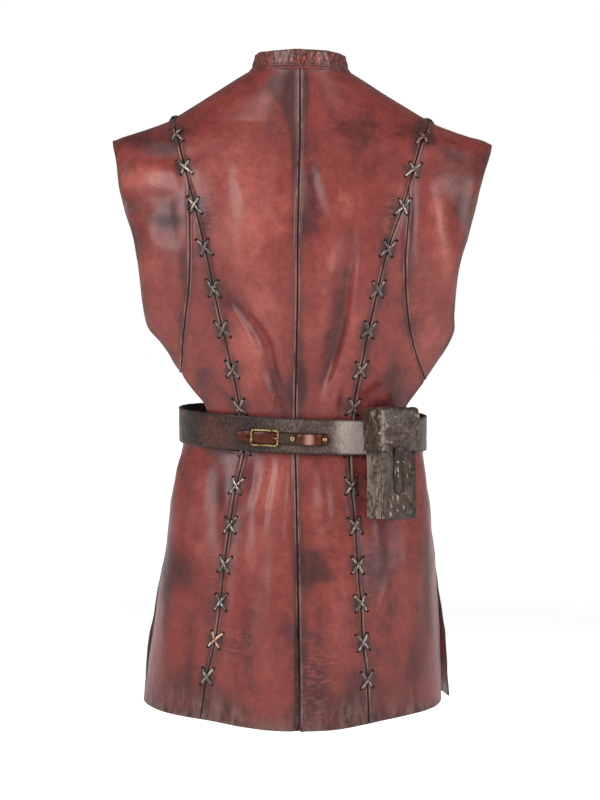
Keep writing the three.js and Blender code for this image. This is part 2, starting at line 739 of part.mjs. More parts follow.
function buckleFrame() {
  const halfLength = (BUCKLE.right - BUCKLE.left) / 2;
  const halfHeight = BUCKLE.height / 2 - BUCKLE.wire;
  const corner = 4;
  const outline = [];
  for (const [sx, sy, start] of [[1, 1, 0], [-1, 1, 1], [-1, -1, 2], [1, -1, 3]]) {
    for (let k = 0; k <= 3; k += 1) {
      const angle = (start + k / 3) * RIGHT_ANGLE;
      const x = BUCKLE_MIDDLE + sx * (halfLength - corner) + corner * Math.cos(angle);
      outline.push(onBelt(x, sy * (halfHeight - corner) + corner * Math.sin(angle), BUCKLE.out));
    }
  }
  const rim = solid(loftGeometry(wireLoops(outline, BUCKLE.wire, true), true));
  const { radius, out } = BUCKLE_BAR;
  const bar = [-halfHeight - 0.6, 0, halfHeight + 0.6].map((up) => onBelt(BUCKLE_MIDDLE, up, out));
  let frame = rim.add(solid(loftGeometry(wireLoops(bar, radius, false))));
  for (const up of [-halfHeight, halfHeight]) {
    frame = frame.add(solid(peg(BUCKLE_MIDDLE, up, radius, out, BUCKLE.out)));
  }
  add('buckle_frame', geometryOf(frame), brass());
}

function buckleProng() {
  const path = [
    [1.6, BUCKLE_BAR.out], [5.5, 2.1], [8.4, 3.4], [11.5, 5.6], [15, 7.2], [17, 7.2], [18.4, 6.8],
  ];
  const points = path.map(([along, out]) => onBelt(BUCKLE_MIDDLE + along, 0, out));
  add('buckle_prong', loftGeometry(wireLoops(points, 0.8, false)), brass());
}

function strapKeeper() {
  const rises = [
    [-4.5, 0.3], [-3, 1.2], [1, 2.6], [6, 3.3], [11.5, 3.5], [17, 3.3], [22, 2.6], [26, 1.2], [27.5, 0.3],
  ];
  const above = STRAP.thickness + SEAM_GAP;
  const places = rises.map(([x, out]) => ({ x, out: above + out }));
  add('strap_keeper', strapGeometry(places, STRAP.width - 0.4, 1.6, false), conkerLeather());
}

function rivet(name, x) {
  const foot = STRAP.thickness + 2 * SEAM_GAP;
  add(name, peg(x, 0, RIVET.radius, foot, foot + RIVET.height), brass());
}

// ---------------------------------------------------------------- pouch

// The pouch stands on the belt in its own frame: x along the belt, -y away from the
// wearer, z up from the belt's top edge, where it leans on the belt.
const pouch = new THREE.Group();
const pouchTurn = Math.asin((POUCH_X - BELT_SECTION.sway) / BELT_SECTION.halfWidth);

function placePouch() {
  const topEdge = BELT_WIDTH / 2;
  const seat = beltPoint(pouchTurn, topEdge, SEAM_GAP);
  const outward = beltPoint(pouchTurn, topEdge, 1).sub(beltPoint(pouchTurn, topEdge, 0));
  pouch.position.copy(seat);
  pouch.rotation.set(-POUCH_TILT, POUCH_SWING, Math.atan2(outward.x, -outward.y), 'ZXY');
  vest.add(pouch);
}

// A block with rounded upright corners between two depths, y = -near and y = -far.
function blockGeometry(width, near, far, bottom, top, corner, backCorner = 0.6) {
  const half = width / 2;
  const shape = new THREE.Shape();
  shape.moveTo(-half + backCorner, -near);
  shape.lineTo(-half, -near - backCorner);
  shape.lineTo(-half, -far + corner);
  shape.absarc(-half + corner, -far + corner, corner, Math.PI, 1.5 * Math.PI, false);
  shape.lineTo(half - corner, -far);
  shape.absarc(half - corner, -far + corner, corner, 1.5 * Math.PI, 2 * Math.PI, false);
  shape.lineTo(half, -near - backCorner);
  shape.lineTo(half - backCorner, -near);
  const settings = { depth: top - bottom, bevelEnabled: false, curveSegments: 4 };
  const geometry = new THREE.ExtrudeGeometry(shape, settings);
  return geometry.translate(0, 0, bottom);
}

function pouchBody() {
  const top = POUCH_TOP - POUCH_WALL - SEAM_GAP;
  const outside = solid(blockGeometry(POUCH_WIDTH, 0, POUCH_DEPTH, POUCH_BOTTOM, top, 4));
  const inside = solid(blockGeometry(
    POUCH_WIDTH - 2 * POUCH_WALL,
    POUCH_WALL,
    POUCH_DEPTH - POUCH_WALL,
    POUCH_BOTTOM + POUCH_WALL,
    top + 1,
    2.5,
  ));
  add('pouch_body', geometryOf(outside.subtract(inside)), pouchLeather(), pouch);
}

function pouchLid() {
  const width = POUCH_WIDTH + 2 * LID_PLAY + 2 * POUCH_WALL;
  const outside = solid(blockGeometry(width, 0, LID_OUT, POUCH_TOP - LID_HEIGHT, POUCH_TOP, 5));
  const inside = solid(blockGeometry(
    POUCH_WIDTH + 2 * LID_PLAY,
    -3,
    POUCH_DEPTH + LID_PLAY,
    POUCH_TOP - LID_HEIGHT - 1,
    POUCH_TOP - POUCH_WALL,
    4.2,
  ));
  add('pouch_lid', geometryOf(outside.subtract(inside)), pouchLeather(), pouch);
}

// The loop goes from the pouch's back over the belt, down behind it and out below.
function pouchLoop() {
  const half = BELT_WIDTH / 2 + 0.4;
  const strap = 2;
  const behind = -BELT_THICKNESS - 0.4;
  const back = (up) => (BELT_WIDTH / 2 - up) * Math.tan(POUCH_TILT);
  const top = half + 9;
  const foot = -half - 12;
  const low = -half - strap;
  const profile = [
    [top, back(top)], [top, back(top) - strap], [half + strap, -strap], [half + strap, behind - strap],
    [low, behind - strap], [low, back(low) - strap], [foot, back(foot) - strap], [foot, back(foot)],
    [-half, back(-half)], [-half, behind], [half, behind], [half, back(half)],
  ];
  const turns = [-9, -3, 3, 9].map((step) => pouchTurn + step / BELT_SECTION.halfWidth);
  const loops = turns.map((turn) => profile.map(([up, out]) => beltPoint(turn, up, out)));
  add('pouch_loop', loftGeometry(loops), pouchLeather());
}

// The tongue hangs from the lid's face down over the front of the body.
function pouchTongue() {
  const lidFace = LID_OUT + SEAM_GAP;
  const bodyFace = POUCH_DEPTH + SEAM_GAP;
  const lidEdge = POUCH_TOP - LID_HEIGHT;
  const path = [
    [TONGUE.top, lidFace, 1], [lidEdge - 1, lidFace, 1], [lidEdge - 9, bodyFace + 0.5, 1],
    [TONGUE.bottom + 6, bodyFace, 1], [TONGUE.bottom + 2.5, bodyFace, 0.8], [TONGUE.bottom, bodyFace, 0.35],
  ];
  const loops = path.map(([z, near, share]) => {
    const half = (TONGUE.width / 2) * share;
    const far = near + TONGUE.thickness;
    return [[-half, near], [half, near], [half, far], [-half, far]]
      .map(([x, out]) => new THREE.Vector3(TONGUE.middle + x, -out, z));
  });
  add('pouch_tongue', loftGeometry(loops), pouchLeather(), pouch);
}

function pouchStud(name, x) {
  const geometry = new THREE.CylinderGeometry(1.3, 1.6, 1.6, 12);
  geometry.rotateX(RIGHT_ANGLE);
  add(name, geometry, brass(), pouch).position.set(x, -TONGUE_FACE - STUD.out, STUD.height);
}

// A thin thong looped round under the left stud, with its two tails down.
function pouchCord() {
  const out = TONGUE_FACE + 1;
  const route = [[-3.5, -17], [-2.6, -11], [-1.2, -5.5], [0, -5.5], [0.8, -11], [1.2, -19], [1.6, -28]]
    .map(([x, z]) => new THREE.Vector3(STUD.left + x, -out, STUD.height + z));
  const path = new THREE.CatmullRomCurve3(route);
  const shape = new THREE.Shape().absarc(0, 0, 0.8, 0, 2 * Math.PI);
  const geometry = new THREE.ExtrudeGeometry(shape, { steps: 20, extrudePath: path, curveSegments: 3 });
  add('pouch_cord', geometry, thongLeather(), pouch);
}

// ---------------------------------------------------------------- assembly

for (const side of ['left', 'right']) {
  backCentre(side);
  backSide(side);
  skirtSide(side);
  cap(side);
  front(side);
  CROSS_DROPS.forEach((drop, i) => cross(side, drop, i + 1));
}
collar();
belt();
buckleBase();
buckleStrap();
buckleFrame();
buckleProng();
strapKeeper();
rivet('rivet_inner', RIVET.inner);
rivet('rivet_outer', RIVET.outer);
placePouch();
pouchBody();
pouchLid();
pouchLoop();
pouchTongue();
pouchStud('pouch_stud_left', STUD.left);
pouchStud('pouch_stud_right', STUD.left + STUD.spacing);
pouchCord();

export default vest;
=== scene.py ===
"""The looks of a leather vest with laced seams, its belt and the pouch on the belt.

Everything is in metres. -Y is the wearer's back, +X the wearer's right and +Z is up, and
the origin is at the base of the neck.
"""

import json
import math

import bmesh
import bpy
import numpy as np
from bpy.props import FloatProperty, FloatVectorProperty, PointerProperty
from mathutils import Matrix, Vector, noise
from mathutils.bvhtree import BVHTree

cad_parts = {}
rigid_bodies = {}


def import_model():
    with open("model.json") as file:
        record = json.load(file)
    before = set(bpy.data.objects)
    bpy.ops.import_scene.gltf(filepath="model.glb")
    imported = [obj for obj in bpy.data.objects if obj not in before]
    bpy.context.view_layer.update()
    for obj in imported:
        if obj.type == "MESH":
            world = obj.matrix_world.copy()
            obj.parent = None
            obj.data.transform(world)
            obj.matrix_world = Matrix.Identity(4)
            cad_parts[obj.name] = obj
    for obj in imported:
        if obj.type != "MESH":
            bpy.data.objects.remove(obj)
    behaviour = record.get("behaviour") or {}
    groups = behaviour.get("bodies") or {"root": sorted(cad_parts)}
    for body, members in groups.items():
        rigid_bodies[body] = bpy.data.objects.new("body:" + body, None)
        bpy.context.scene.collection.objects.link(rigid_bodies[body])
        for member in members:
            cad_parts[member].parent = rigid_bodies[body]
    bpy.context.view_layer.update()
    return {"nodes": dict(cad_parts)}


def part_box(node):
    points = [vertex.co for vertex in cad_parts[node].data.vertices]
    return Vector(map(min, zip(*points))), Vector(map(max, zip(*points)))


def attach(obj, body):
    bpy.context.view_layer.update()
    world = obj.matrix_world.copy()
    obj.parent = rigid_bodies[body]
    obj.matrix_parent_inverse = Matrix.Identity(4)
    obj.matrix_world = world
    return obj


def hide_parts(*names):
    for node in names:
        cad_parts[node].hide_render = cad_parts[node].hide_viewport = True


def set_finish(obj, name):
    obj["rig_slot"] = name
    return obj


bl_info = {
    "name": "Laced leather vest",
    "version": (1, 0, 0),
    "blender": (4, 5, 0),
    "location": "3D View > Sidebar > Vest",
    "description": "Builds a laced leather vest with its belt and belt pouch on a fixed frame",
    "category": "Add Mesh",
}

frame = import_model()

MM = 0.001
SIDES = {"left": -1, "right": 1}
BODY_MIDDLE = (0, 0, -0.3)
FACING_BACK = (math.radians(90), 0, 0)  # turns a flat primitive to face the wearer's back
FAR = 60 * MM  # distances from an edge stop counting here
BELT_HEIGHT = -0.470
BELT_SLOPE = 0.036  # the belt's rise towards the wearer's right
HEM = (-0.8, -0.844)  # where the darkening at the hem starts and is full
NOISE_SEED = 1795336692  # without a fixed seed, noise_vector differs from run to run


# ------------------------------------------------------------------ sizes and colours


class VestSizes(bpy.types.PropertyGroup):
    """Sizes that shape the leather beyond the frame's own."""

    leather: FloatProperty(
        name="Leather", description="Thickness of the vest's leather", default=2 * MM, unit="LENGTH"
    )
    mesh_step: FloatProperty(
        name="Mesh step", description="Spacing of the points on the vest", default=4.4 * MM, unit="LENGTH"
    )
    seam_ridge: FloatProperty(
        name="Seam ridge", description="How far the edges stand up beside a seam", default=1.1 * MM,
        unit="LENGTH",
    )
    crease_depth: FloatProperty(
        name="Crease depth", description="Share of the depth that the crease table gives", default=1.0,
        subtype="FACTOR",
    )
    thong_width: FloatProperty(
        name="Thong width", description="Width of the lacing", default=4.5 * MM, unit="LENGTH"
    )
    thong_thickness: FloatProperty(
        name="Thong thickness", description="Thickness of the lacing", default=2.1 * MM, unit="LENGTH"
    )


class VestColours(bpy.types.PropertyGroup):
    """Colours of the leathers and the metal."""

    oxblood: FloatVectorProperty(
        name="Oxblood", description="Main colour of the vest", default=(0.18, 0.028, 0.022),
        subtype="COLOR",
    )
    # Also the colour of the painted shade in crease troughs and in the darkened patches.
    oxblood_deep_and_shade: FloatVectorProperty(
        name="Deep oxblood", description="Colour of the deeper blotches", default=(0.072, 0.012, 0.012),
        subtype="COLOR",
    )
    # Also the colour of the painted sheen on crease ridges and lit patches.
    oxblood_rubbed_and_sheen: FloatVectorProperty(
        name="Worn oxblood", description="Colour where the leather is rubbed", default=(0.32, 0.078, 0.058),
        subtype="COLOR",
    )
    # Also the colour of the painted shade round the crosses and of the painted shadow beside the centre back
    # seam.
    burnish_and_shade: FloatVectorProperty(
        name="Burnish", description="Charcoal rubbed along seams and edges", default=(0.034, 0.013, 0.013),
        subtype="COLOR",
    )
    thong: FloatVectorProperty(
        name="Thong", description="Colour of the lacing", default=(0.022, 0.01, 0.007), subtype="COLOR"
    )
    belt: FloatVectorProperty(
        name="Belt", description="Main colour of the belt", default=(0.06, 0.033, 0.025), subtype="COLOR"
    )
    conker: FloatVectorProperty(
        name="Conker", description="Colour of the buckle's strap", default=(0.084, 0.014, 0.0065),
        subtype="COLOR",
    )
    pouch: FloatVectorProperty(
        name="Pouch", description="Main colour of the pouch", default=(0.05, 0.029, 0.017),
        subtype="COLOR",
    )
    brass: FloatVectorProperty(
        name="Brass", description="Colour of the buckle and rivets", default=(0.56, 0.4, 0.18),
        subtype="COLOR",
    )


def sizes():
    return bpy.context.scene.vest_sizes


def colours():
    return bpy.context.scene.vest_colours


# ------------------------------------------------------------------ tables


def table(columns, rows):
    """Rows of numbers under named columns."""
    return [dict(zip(columns.split(), row)) for row in rows]


# Creases in the leather, in millimetres: a width, a depth and the places they run through
# from the top down. A depth below zero is a trough, and one above zero a ridge.
CREASES = {
    "back": [
        # drag folds from the shoulder blades down to the belt
        (13, -7.2, (-90, -256), (-84, -294), (-60, -326), (-44, -352), (-39, -380), (-33, -402), (-18, -444)),
        (11, 5.0, (-92, -296), (-70, -336), (-55, -364), (-50, -394), (-41, -420), (-28, -446)),
        (8, 2.4, (-38, -320), (-34, -345), (-26, -385), (-22, -410)),
        (4, 1.5, (-68, -395), (-64, -412), (-57, -440)),
        (22, 1.2, (-74, -140), (-70, -220), (-66, -270)),
        (
            13, -7.0, (66, -185), (65, -220), (59, -265), (55, -320), (44, -362), (33, -394),
            (21, -429), (13, -450),
        ),
        (11, 5.0, (79, -225), (74, -257), (66, -302), (62, -336), (50, -379), (38, -407), (24, -444)),
        (12, 1.6, (36, -190), (34, -238), (32, -300), (24, -350)),
        (15, -3.2, (7, -104), (12, -135), (19, -163), (32, -200), (46, -226)),
        (16, 1.0, (30, -100), (34, -150), (46, -190)),
        (12, -1.4, (84, -96), (83, -140), (86, -180)),
        (12, 1.5, (-24, -90), (-30, -140), (-38, -200)),
        (13, -1.5, (-96, -110), (-88, -160), (-82, -210)),
        # pinches above the belt
        (5, -1.8, (-6, -400), (-8, -425), (-9, -452)),
        (5, 1.8, (8, -385), (9, -415), (8, -450)),
        (5, 1.4, (46, -396), (44, -425), (42, -452)),
        (4, -1.4, (56, -405), (54, -430), (52, -452)),
        (7, 2.2, (118, -352), (102, -384), (84, -404), (72, -424)),
        (7, -2.4, (132, -372), (112, -400), (90, -420), (76, -436)),
        (6, 1.6, (140, -392), (122, -412), (100, -428)),
        (7, -2.0, (-132, -372), (-114, -398), (-96, -418), (-84, -434)),
        (6, 1.8, (-122, -356), (-108, -380), (-94, -402)),
        # the fan of short folds under the belt
        (9, 1.5, (-26, -496), (-27, -515), (-33, -540), (-36, -572)),
        (8, -1.7, (-36, -496), (-37, -525), (-46, -560), (-50, -600)),
        (11, 1.9, (-45, -496), (-46, -525), (-54, -560), (-58, -620), (-60, -660)),
        (8, -2.0, (-58, -496), (-62, -530), (-72, -566)),
        (9, 1.4, (-11, -530), (-12, -575), (-14, -625)),
        (7, -1.4, (-18, -500), (-20, -530), (-22, -560)),
        (8, 1.3, (12, -496), (14, -530), (16, -570)),
        (9, -1.8, (26, -496), (29, -525), (32, -580)),
        (9, 1.6, (42, -496), (45, -535), (48, -590)),
        (12, 2.4, (-126, -500), (-127, -545), (-131, -600), (-140, -660)),
        (11, -2.2, (-148, -505), (-150, -560), (-156, -620)),
        (11, -2.2, (-106, -505), (-108, -560), (-112, -620)),
        (8, 1.8, (88, -500), (92, -560), (98, -620)),
        (12, -2.0, (112, -580), (116, -650), (124, -740)),
        (11, 2.2, (136, -580), (140, -650), (146, -760)),
        # long soft waves down the skirt
        (12, -2.4, (-58, -640), (-64, -700), (-68, -760), (-72, -830)),
        (13, 2.2, (-34, -600), (-38, -680), (-42, -760), (-46, -835)),
        (11, 2.0, (-86, -660), (-94, -730), (-100, -835)),
        (12, 2.4, (40, -590), (46, -650), (50, -720), (56, -830)),
        (10, -2.2, (24, -640), (26, -720), (30, -830)),
        (9, -2.2, (60, -640), (64, -720), (72, -830)),
        (7, 1.8, (118, -636), (112, -664), (98, -700), (92, -722)),
        (10, 1.8, (104, -700), (108, -760), (112, -835)),
        (12, 2.0, (-164, -600), (-172, -680), (-182, -820)),
        (9, -1.8, (-140, -690), (-146, -760), (-152, -830)),
        # the caps
        (60, 3.4, (-160, -116), (-200, -136), (-244, -158)),
        (50, -2.6, (-158, -156), (-196, -172), (-236, -190)),
        (18, 3.4, (-196, -190), (-186, -230), (-184, -280)),
        (14, -2.6, (-166, -160), (-168, -190), (-164, -230)),
        (9, 1.8, (-160, -230), (-160, -280), (-164, -340)),
        (16, 4.6, (164, -135), (174, -180), (182, -230), (186, -280)),
        (18, -1.8, (206, -128), (208, -165), (206, -200), (202, -245)),
        (10, -2.0, (150, -160), (148, -200), (150, -250)),
        (12, 1.6, (230, -120), (226, -160), (218, -210)),
        (9, 1.6, (158, -250), (164, -300), (168, -350)),
    ],
    "front": [
        (9, -3.6, (-86, -250), (-74, -310), (-56, -370), (-28, -450)),
        (7, 2.8, (-66, -270), (-54, -330), (-38, -390), (-18, -448)),
        (9, -3.4, (80, -240), (70, -300), (50, -370), (26, -450)),
        (7, 2.6, (64, -265), (52, -330), (34, -395), (14, -448)),
        (9, -2.2, (-120, -300), (-100, -380), (-76, -440)),
        (9, -2.2, (118, -290), (100, -380), (74, -440)),
        (13, 2.2, (-40, -120), (-44, -200), (-52, -280)),
        (13, 2.2, (44, -125), (50, -210), (54, -290)),
        (6, -2.6, (-48, -496), (-56, -540), (-64, -600)),
        (6, 2.2, (-30, -496), (-34, -535), (-40, -590)),
        (6, -2.6, (46, -496), (52, -540), (60, -600)),
        (6, 2.2, (28, -496), (34, -535), (38, -590)),
        (14, 2.6, (-86, -560), (-100, -690), (-112, -830)),
        (14, 2.6, (84, -560), (98, -690), (112, -830)),
        (13, -2.4, (-140, -540), (-152, -680), (-162, -830)),
        (13, -2.4, (140, -540), (150, -680), (162, -830)),
        (10, -2.2, (-194, -130), (-188, -190), (-184, -260)),
        (10, -2.2, (196, -130), (190, -190), (186, -260)),
    ],
}

# The next three tables hold soft ellipses on each face of the vest, in millimetres.
ELLIPSE = "x z half_width half_height strength"

# Where the grain is crumpled into fine level wrinkles.
CREPED = {
    "back": table(
        ELLIPSE,
        [
            (20, -780, 24, 52, 1.0), (-80, -738, 26, 20, 0.7), (92, -640, 14, 50, 0.6),
            (34, -600, 26, 40, 0.35), (-110, -660, 16, 50, 0.4), (-118, -190, 8, 34, 0.8),
            (116, -190, 8, 34, 0.8), (150, -300, 8, 60, 0.4),
        ],
    ),
    "front": table(
        ELLIPSE,
        [
            (-40, -770, 34, 50, 0.7), (70, -760, 30, 50, 0.6),
        ],
    ),
}

# Charcoal blotches rubbed into the leather. The narrow row at x -4 beside the centre back seam near the hem
# is a painted shadow where the left panel drops below the right.
STAINS_AND_SHADOW = {
    "back": table(
        ELLIPSE,
        [
            (-12, -26, 18, 26, 1.0), (-30, -22, 18, 16, 0.8), (-10, -52, 13, 22, 0.9),
            (-6, -84, 8, 30, 0.7), (-4, -130, 5, 40, 0.5), (9, -470, 10, 24, 0.3), (22, -504, 8, 12, 0.5),
            (8, -640, 14, 30, 0.85), (-152, -650, 22, 28, 0.75), (-176, -640, 10, 60, 0.5),
            (5, -740, 7, 60, 0.6), (-4, -748, 3.5, 90, 1.4), (66, -812, 20, 26, 0.7),
            (26, -808, 22, 18, 0.5), (168, -660, 9, 90, 0.7), (8, -30, 6, 40, 0.5), (52, -12, 34, 7, 0.35),
            (6, -175, 6, 60, 0.4), (-8, -150, 5, 60, 0.35), (-4, -330, 8, 70, 0.4),
            (-11, -414, 9, 28, 0.75), (3, -404, 8, 30, 1.0), (-160, -85, 16, 22, 0.65),
            (-176, -104, 20, 10, 0.65), (-198, -92, 14, 8, 0.5), (-170, -194, 26, 10, 1.0),
            (-214, -176, 16, 12, 0.5), (-224, -128, 8, 18, 0.5), (-150, -250, 9, 40, 0.45),
            (158, -76, 14, 18, 0.9), (150, -100, 10, 18, 0.55), (211, -176, 7, 16, 0.3),
            (214, -240, 8, 26, 0.35), (140, -240, 10, 50, 0.55), (-122, -210, 9, 36, 0.5),
            (-104, -300, 9, 50, 0.45), (106, -262, 9, 46, 0.45), (84, -360, 9, 46, 0.5),
            (-5, -560, 7, 60, 0.55), (-84, -560, 10, 30, 0.6), (70, -560, 8, 40, 0.4),
            (76, -660, 8, 60, 0.45), (20, -634, 20, 18, 0.8), (38, -650, 14, 10, 0.5),
            (-150, -800, 44, 26, 0.6), (-96, -812, 30, 24, 0.5), (-176, -700, 12, 60, 0.45),
            (108, -800, 34, 30, 0.55), (150, -760, 16, 60, 0.6),
        ],
    ),
    "front": table(
        ELLIPSE,
        [
            (-8, -60, 12, 60, 0.7), (9, -150, 10, 60, 0.6), (-160, -90, 18, 26, 0.7),
            (160, -84, 18, 26, 0.7), (-204, -190, 14, 40, 0.6), (206, -200, 14, 40, 0.6),
            (-12, -430, 18, 30, 0.7), (14, -430, 18, 30, 0.7), (-60, -800, 50, 26, 0.5),
            (90, -806, 46, 26, 0.55), (-150, -700, 16, 80, 0.5), (152, -690, 16, 80, 0.5),
            (12, -620, 10, 90, 0.5),
        ],
    ),
}

# Where the leather is painted lighter (above zero) or darker (below zero): partly rubbing and dye, partly
# painted sheen where the light falls and painted shade in troughs and hollows.
PATCHES = {
    "back": table(
        ELLIPSE,
        [
            (-62, -190, 44, 80, 0.75), (-90, -120, 34, 40, 0.4), (-46, -330, 36, 80, 0.6),
            (-70, -380, 26, 50, 0.4), (44, -240, 24, 90, 0.5), (24, -380, 16, 60, 0.55),
            (76, -170, 26, 40, 0.3), (-40, -530, 20, 44, 0.75), (-56, -620, 24, 50, 0.4),
            (24, -560, 14, 40, 0.5), (44, -700, 26, 90, 0.35), (-200, -150, 24, 30, 0.4),
            (-188, -290, 16, 60, 0.3), (186, -230, 20, 70, 0.45), (-140, -600, 22, 90, 0.3),
            (118, -590, 20, 50, 0.25), (10, -190, 12, 50, -0.7), (60, -70, 50, 30, -0.05),
            (88, -120, 16, 60, -0.15), (46, -340, 11, 110, -0.2), (-26, -410, 14, 40, -0.4),
            (-206, -92, 24, 18, -0.6), (-224, -142, 22, 12, 0.6), (-188, -130, 24, 10, 0.5),
            (170, -170, 14, 30, 0.45), (166, -344, 20, 34, 0.6), (211, -176, 7, 20, -0.5),
            (-232, -200, 12, 40, -0.6), (-118, -560, 22, 60, -0.3), (-132, -520, 12, 50, 0.35),
            (-30, -560, 16, 60, 0.4), (100, -500, 14, 70, -0.5), (-166, -740, 16, 60, 0.3),
            (150, -580, 14, 60, 0.3), (-100, -300, 12, 60, -0.35), (-126, -400, 14, 50, -0.4),
            (120, -420, 16, 50, -0.4), (104, -640, 16, 80, -0.35),
        ],
    ),
    "front": table(
        ELLIPSE,
        [
            (-60, -200, 44, 90, 0.6), (60, -210, 44, 90, 0.6), (-50, -600, 34, 90, 0.5),
            (60, -620, 34, 90, 0.5), (-196, -220, 20, 60, 0.4), (196, -220, 20, 60, 0.4),
        ],
    ),
}


# ------------------------------------------------------------------ shader maths


class Value:
    """A node's output that takes part in sums. An expression adds its Math nodes."""

    def __init__(self, finish, socket):
        self.finish = finish
        self.socket = socket

    def _math(self, operation, first, second=0.0):
        return self.finish.node("ShaderNodeMath", {"operation": operation}, {0: first, 1: second})

    def __add__(self, other):
        return self._math("ADD", self, other)

    def __sub__(self, other):
        return self._math("SUBTRACT", self, other)

    def __rsub__(self, other):
        return self._math("SUBTRACT", other, self)

    def __mul__(self, other):
        return self._math("MULTIPLY", self, other)

    __radd__ = __add__
    __rmul__ = __mul__

    def clipped(self):
        return self.between(0, 1, smooth=False)

    def between(self, low, high, smooth=True):
        """0 below low and 1 above high, or the other way round where low is the larger."""
        kind = "SMOOTHSTEP" if smooth else "LINEAR"
        lower, upper = min(low, high), max(low, high)
        start, end = (0.0, 1.0) if low < high else (1.0, 0.0)
        return self.finish.node(
            "ShaderNodeMapRange",
            {"interpolation_type": kind},
            {"Value": self, "From Min": lower, "From Max": upper, "To Min": start, "To Max": end},
        )


class Finish:
    """A material and the nodes that make it."""

    def __init__(self, name, **constants):
        self.material = bpy.data.materials.new(name)
        self.material.use_nodes = True
        self.tree = self.material.node_tree
        self.shader = self.tree.nodes["Principled BSDF"]
        for socket, value in constants.items():
            self.shader.inputs[socket.replace("_", " ")].default_value = value
        self.place = self.node("ShaderNodeTexCoord", out="Object")

    def node(self, kind, settings=None, sockets=None, out=0):
        """Adds a node, with its settings first and then its sockets' values or links."""
        made = self.tree.nodes.new(kind)
        for key, value in (settings or {}).items():
            setattr(made, key, value)
        for key, value in (sockets or {}).items():
            if isinstance(value, Value):
                self.tree.links.new(value.socket, made.inputs[key])
            elif made.inputs[key].type == "RGBA":
                made.inputs[key].default_value = (*value, 1)
            else:
                made.inputs[key].default_value = value
        return Value(self, made.outputs[out])

    def stretched(self, scale):
        """Object coordinates stretched by a factor along each axis."""
        return self.node("ShaderNodeMapping", {}, {"Vector": self.place, "Scale": scale})

    def noise(self, scale, detail=3.0, roughness=0.55, vector=None):
        sockets = {"Vector": vector or self.place, "Scale": scale, "Detail": detail, "Roughness": roughness}
        return self.node("ShaderNodeTexNoise", {}, sockets, out="Fac")

    def cells(self, scale):
        sockets = {"Vector": self.place, "Scale": scale}
        return self.node("ShaderNodeTexVoronoi", {"feature": "SMOOTH_F1"}, sockets, out="Distance")

    def attribute(self, name):
        return self.node("ShaderNodeAttribute", {"attribute_name": name}, out="Fac")

    def mix(self, factor, first, second):
        """One colour turning into another as the factor grows."""
        return self.node(
            "ShaderNodeMix", {"data_type": "RGBA"}, {0: factor, 6: first, 7: second}, out=2
        )

    def bumped(self, height, distance, strength=1.0, under=None):
        sockets = {"Height": height, "Distance": distance, "Strength": strength}
        if under:
            sockets["Normal"] = under
        return self.node("ShaderNodeBump", {}, sockets)

    def feeds(self, **links):
        for socket, value in links.items():
            self.tree.links.new(value.socket, self.shader.inputs[socket.replace("_", " ")])
        return self.material


# ------------------------------------------------------------------ finishes


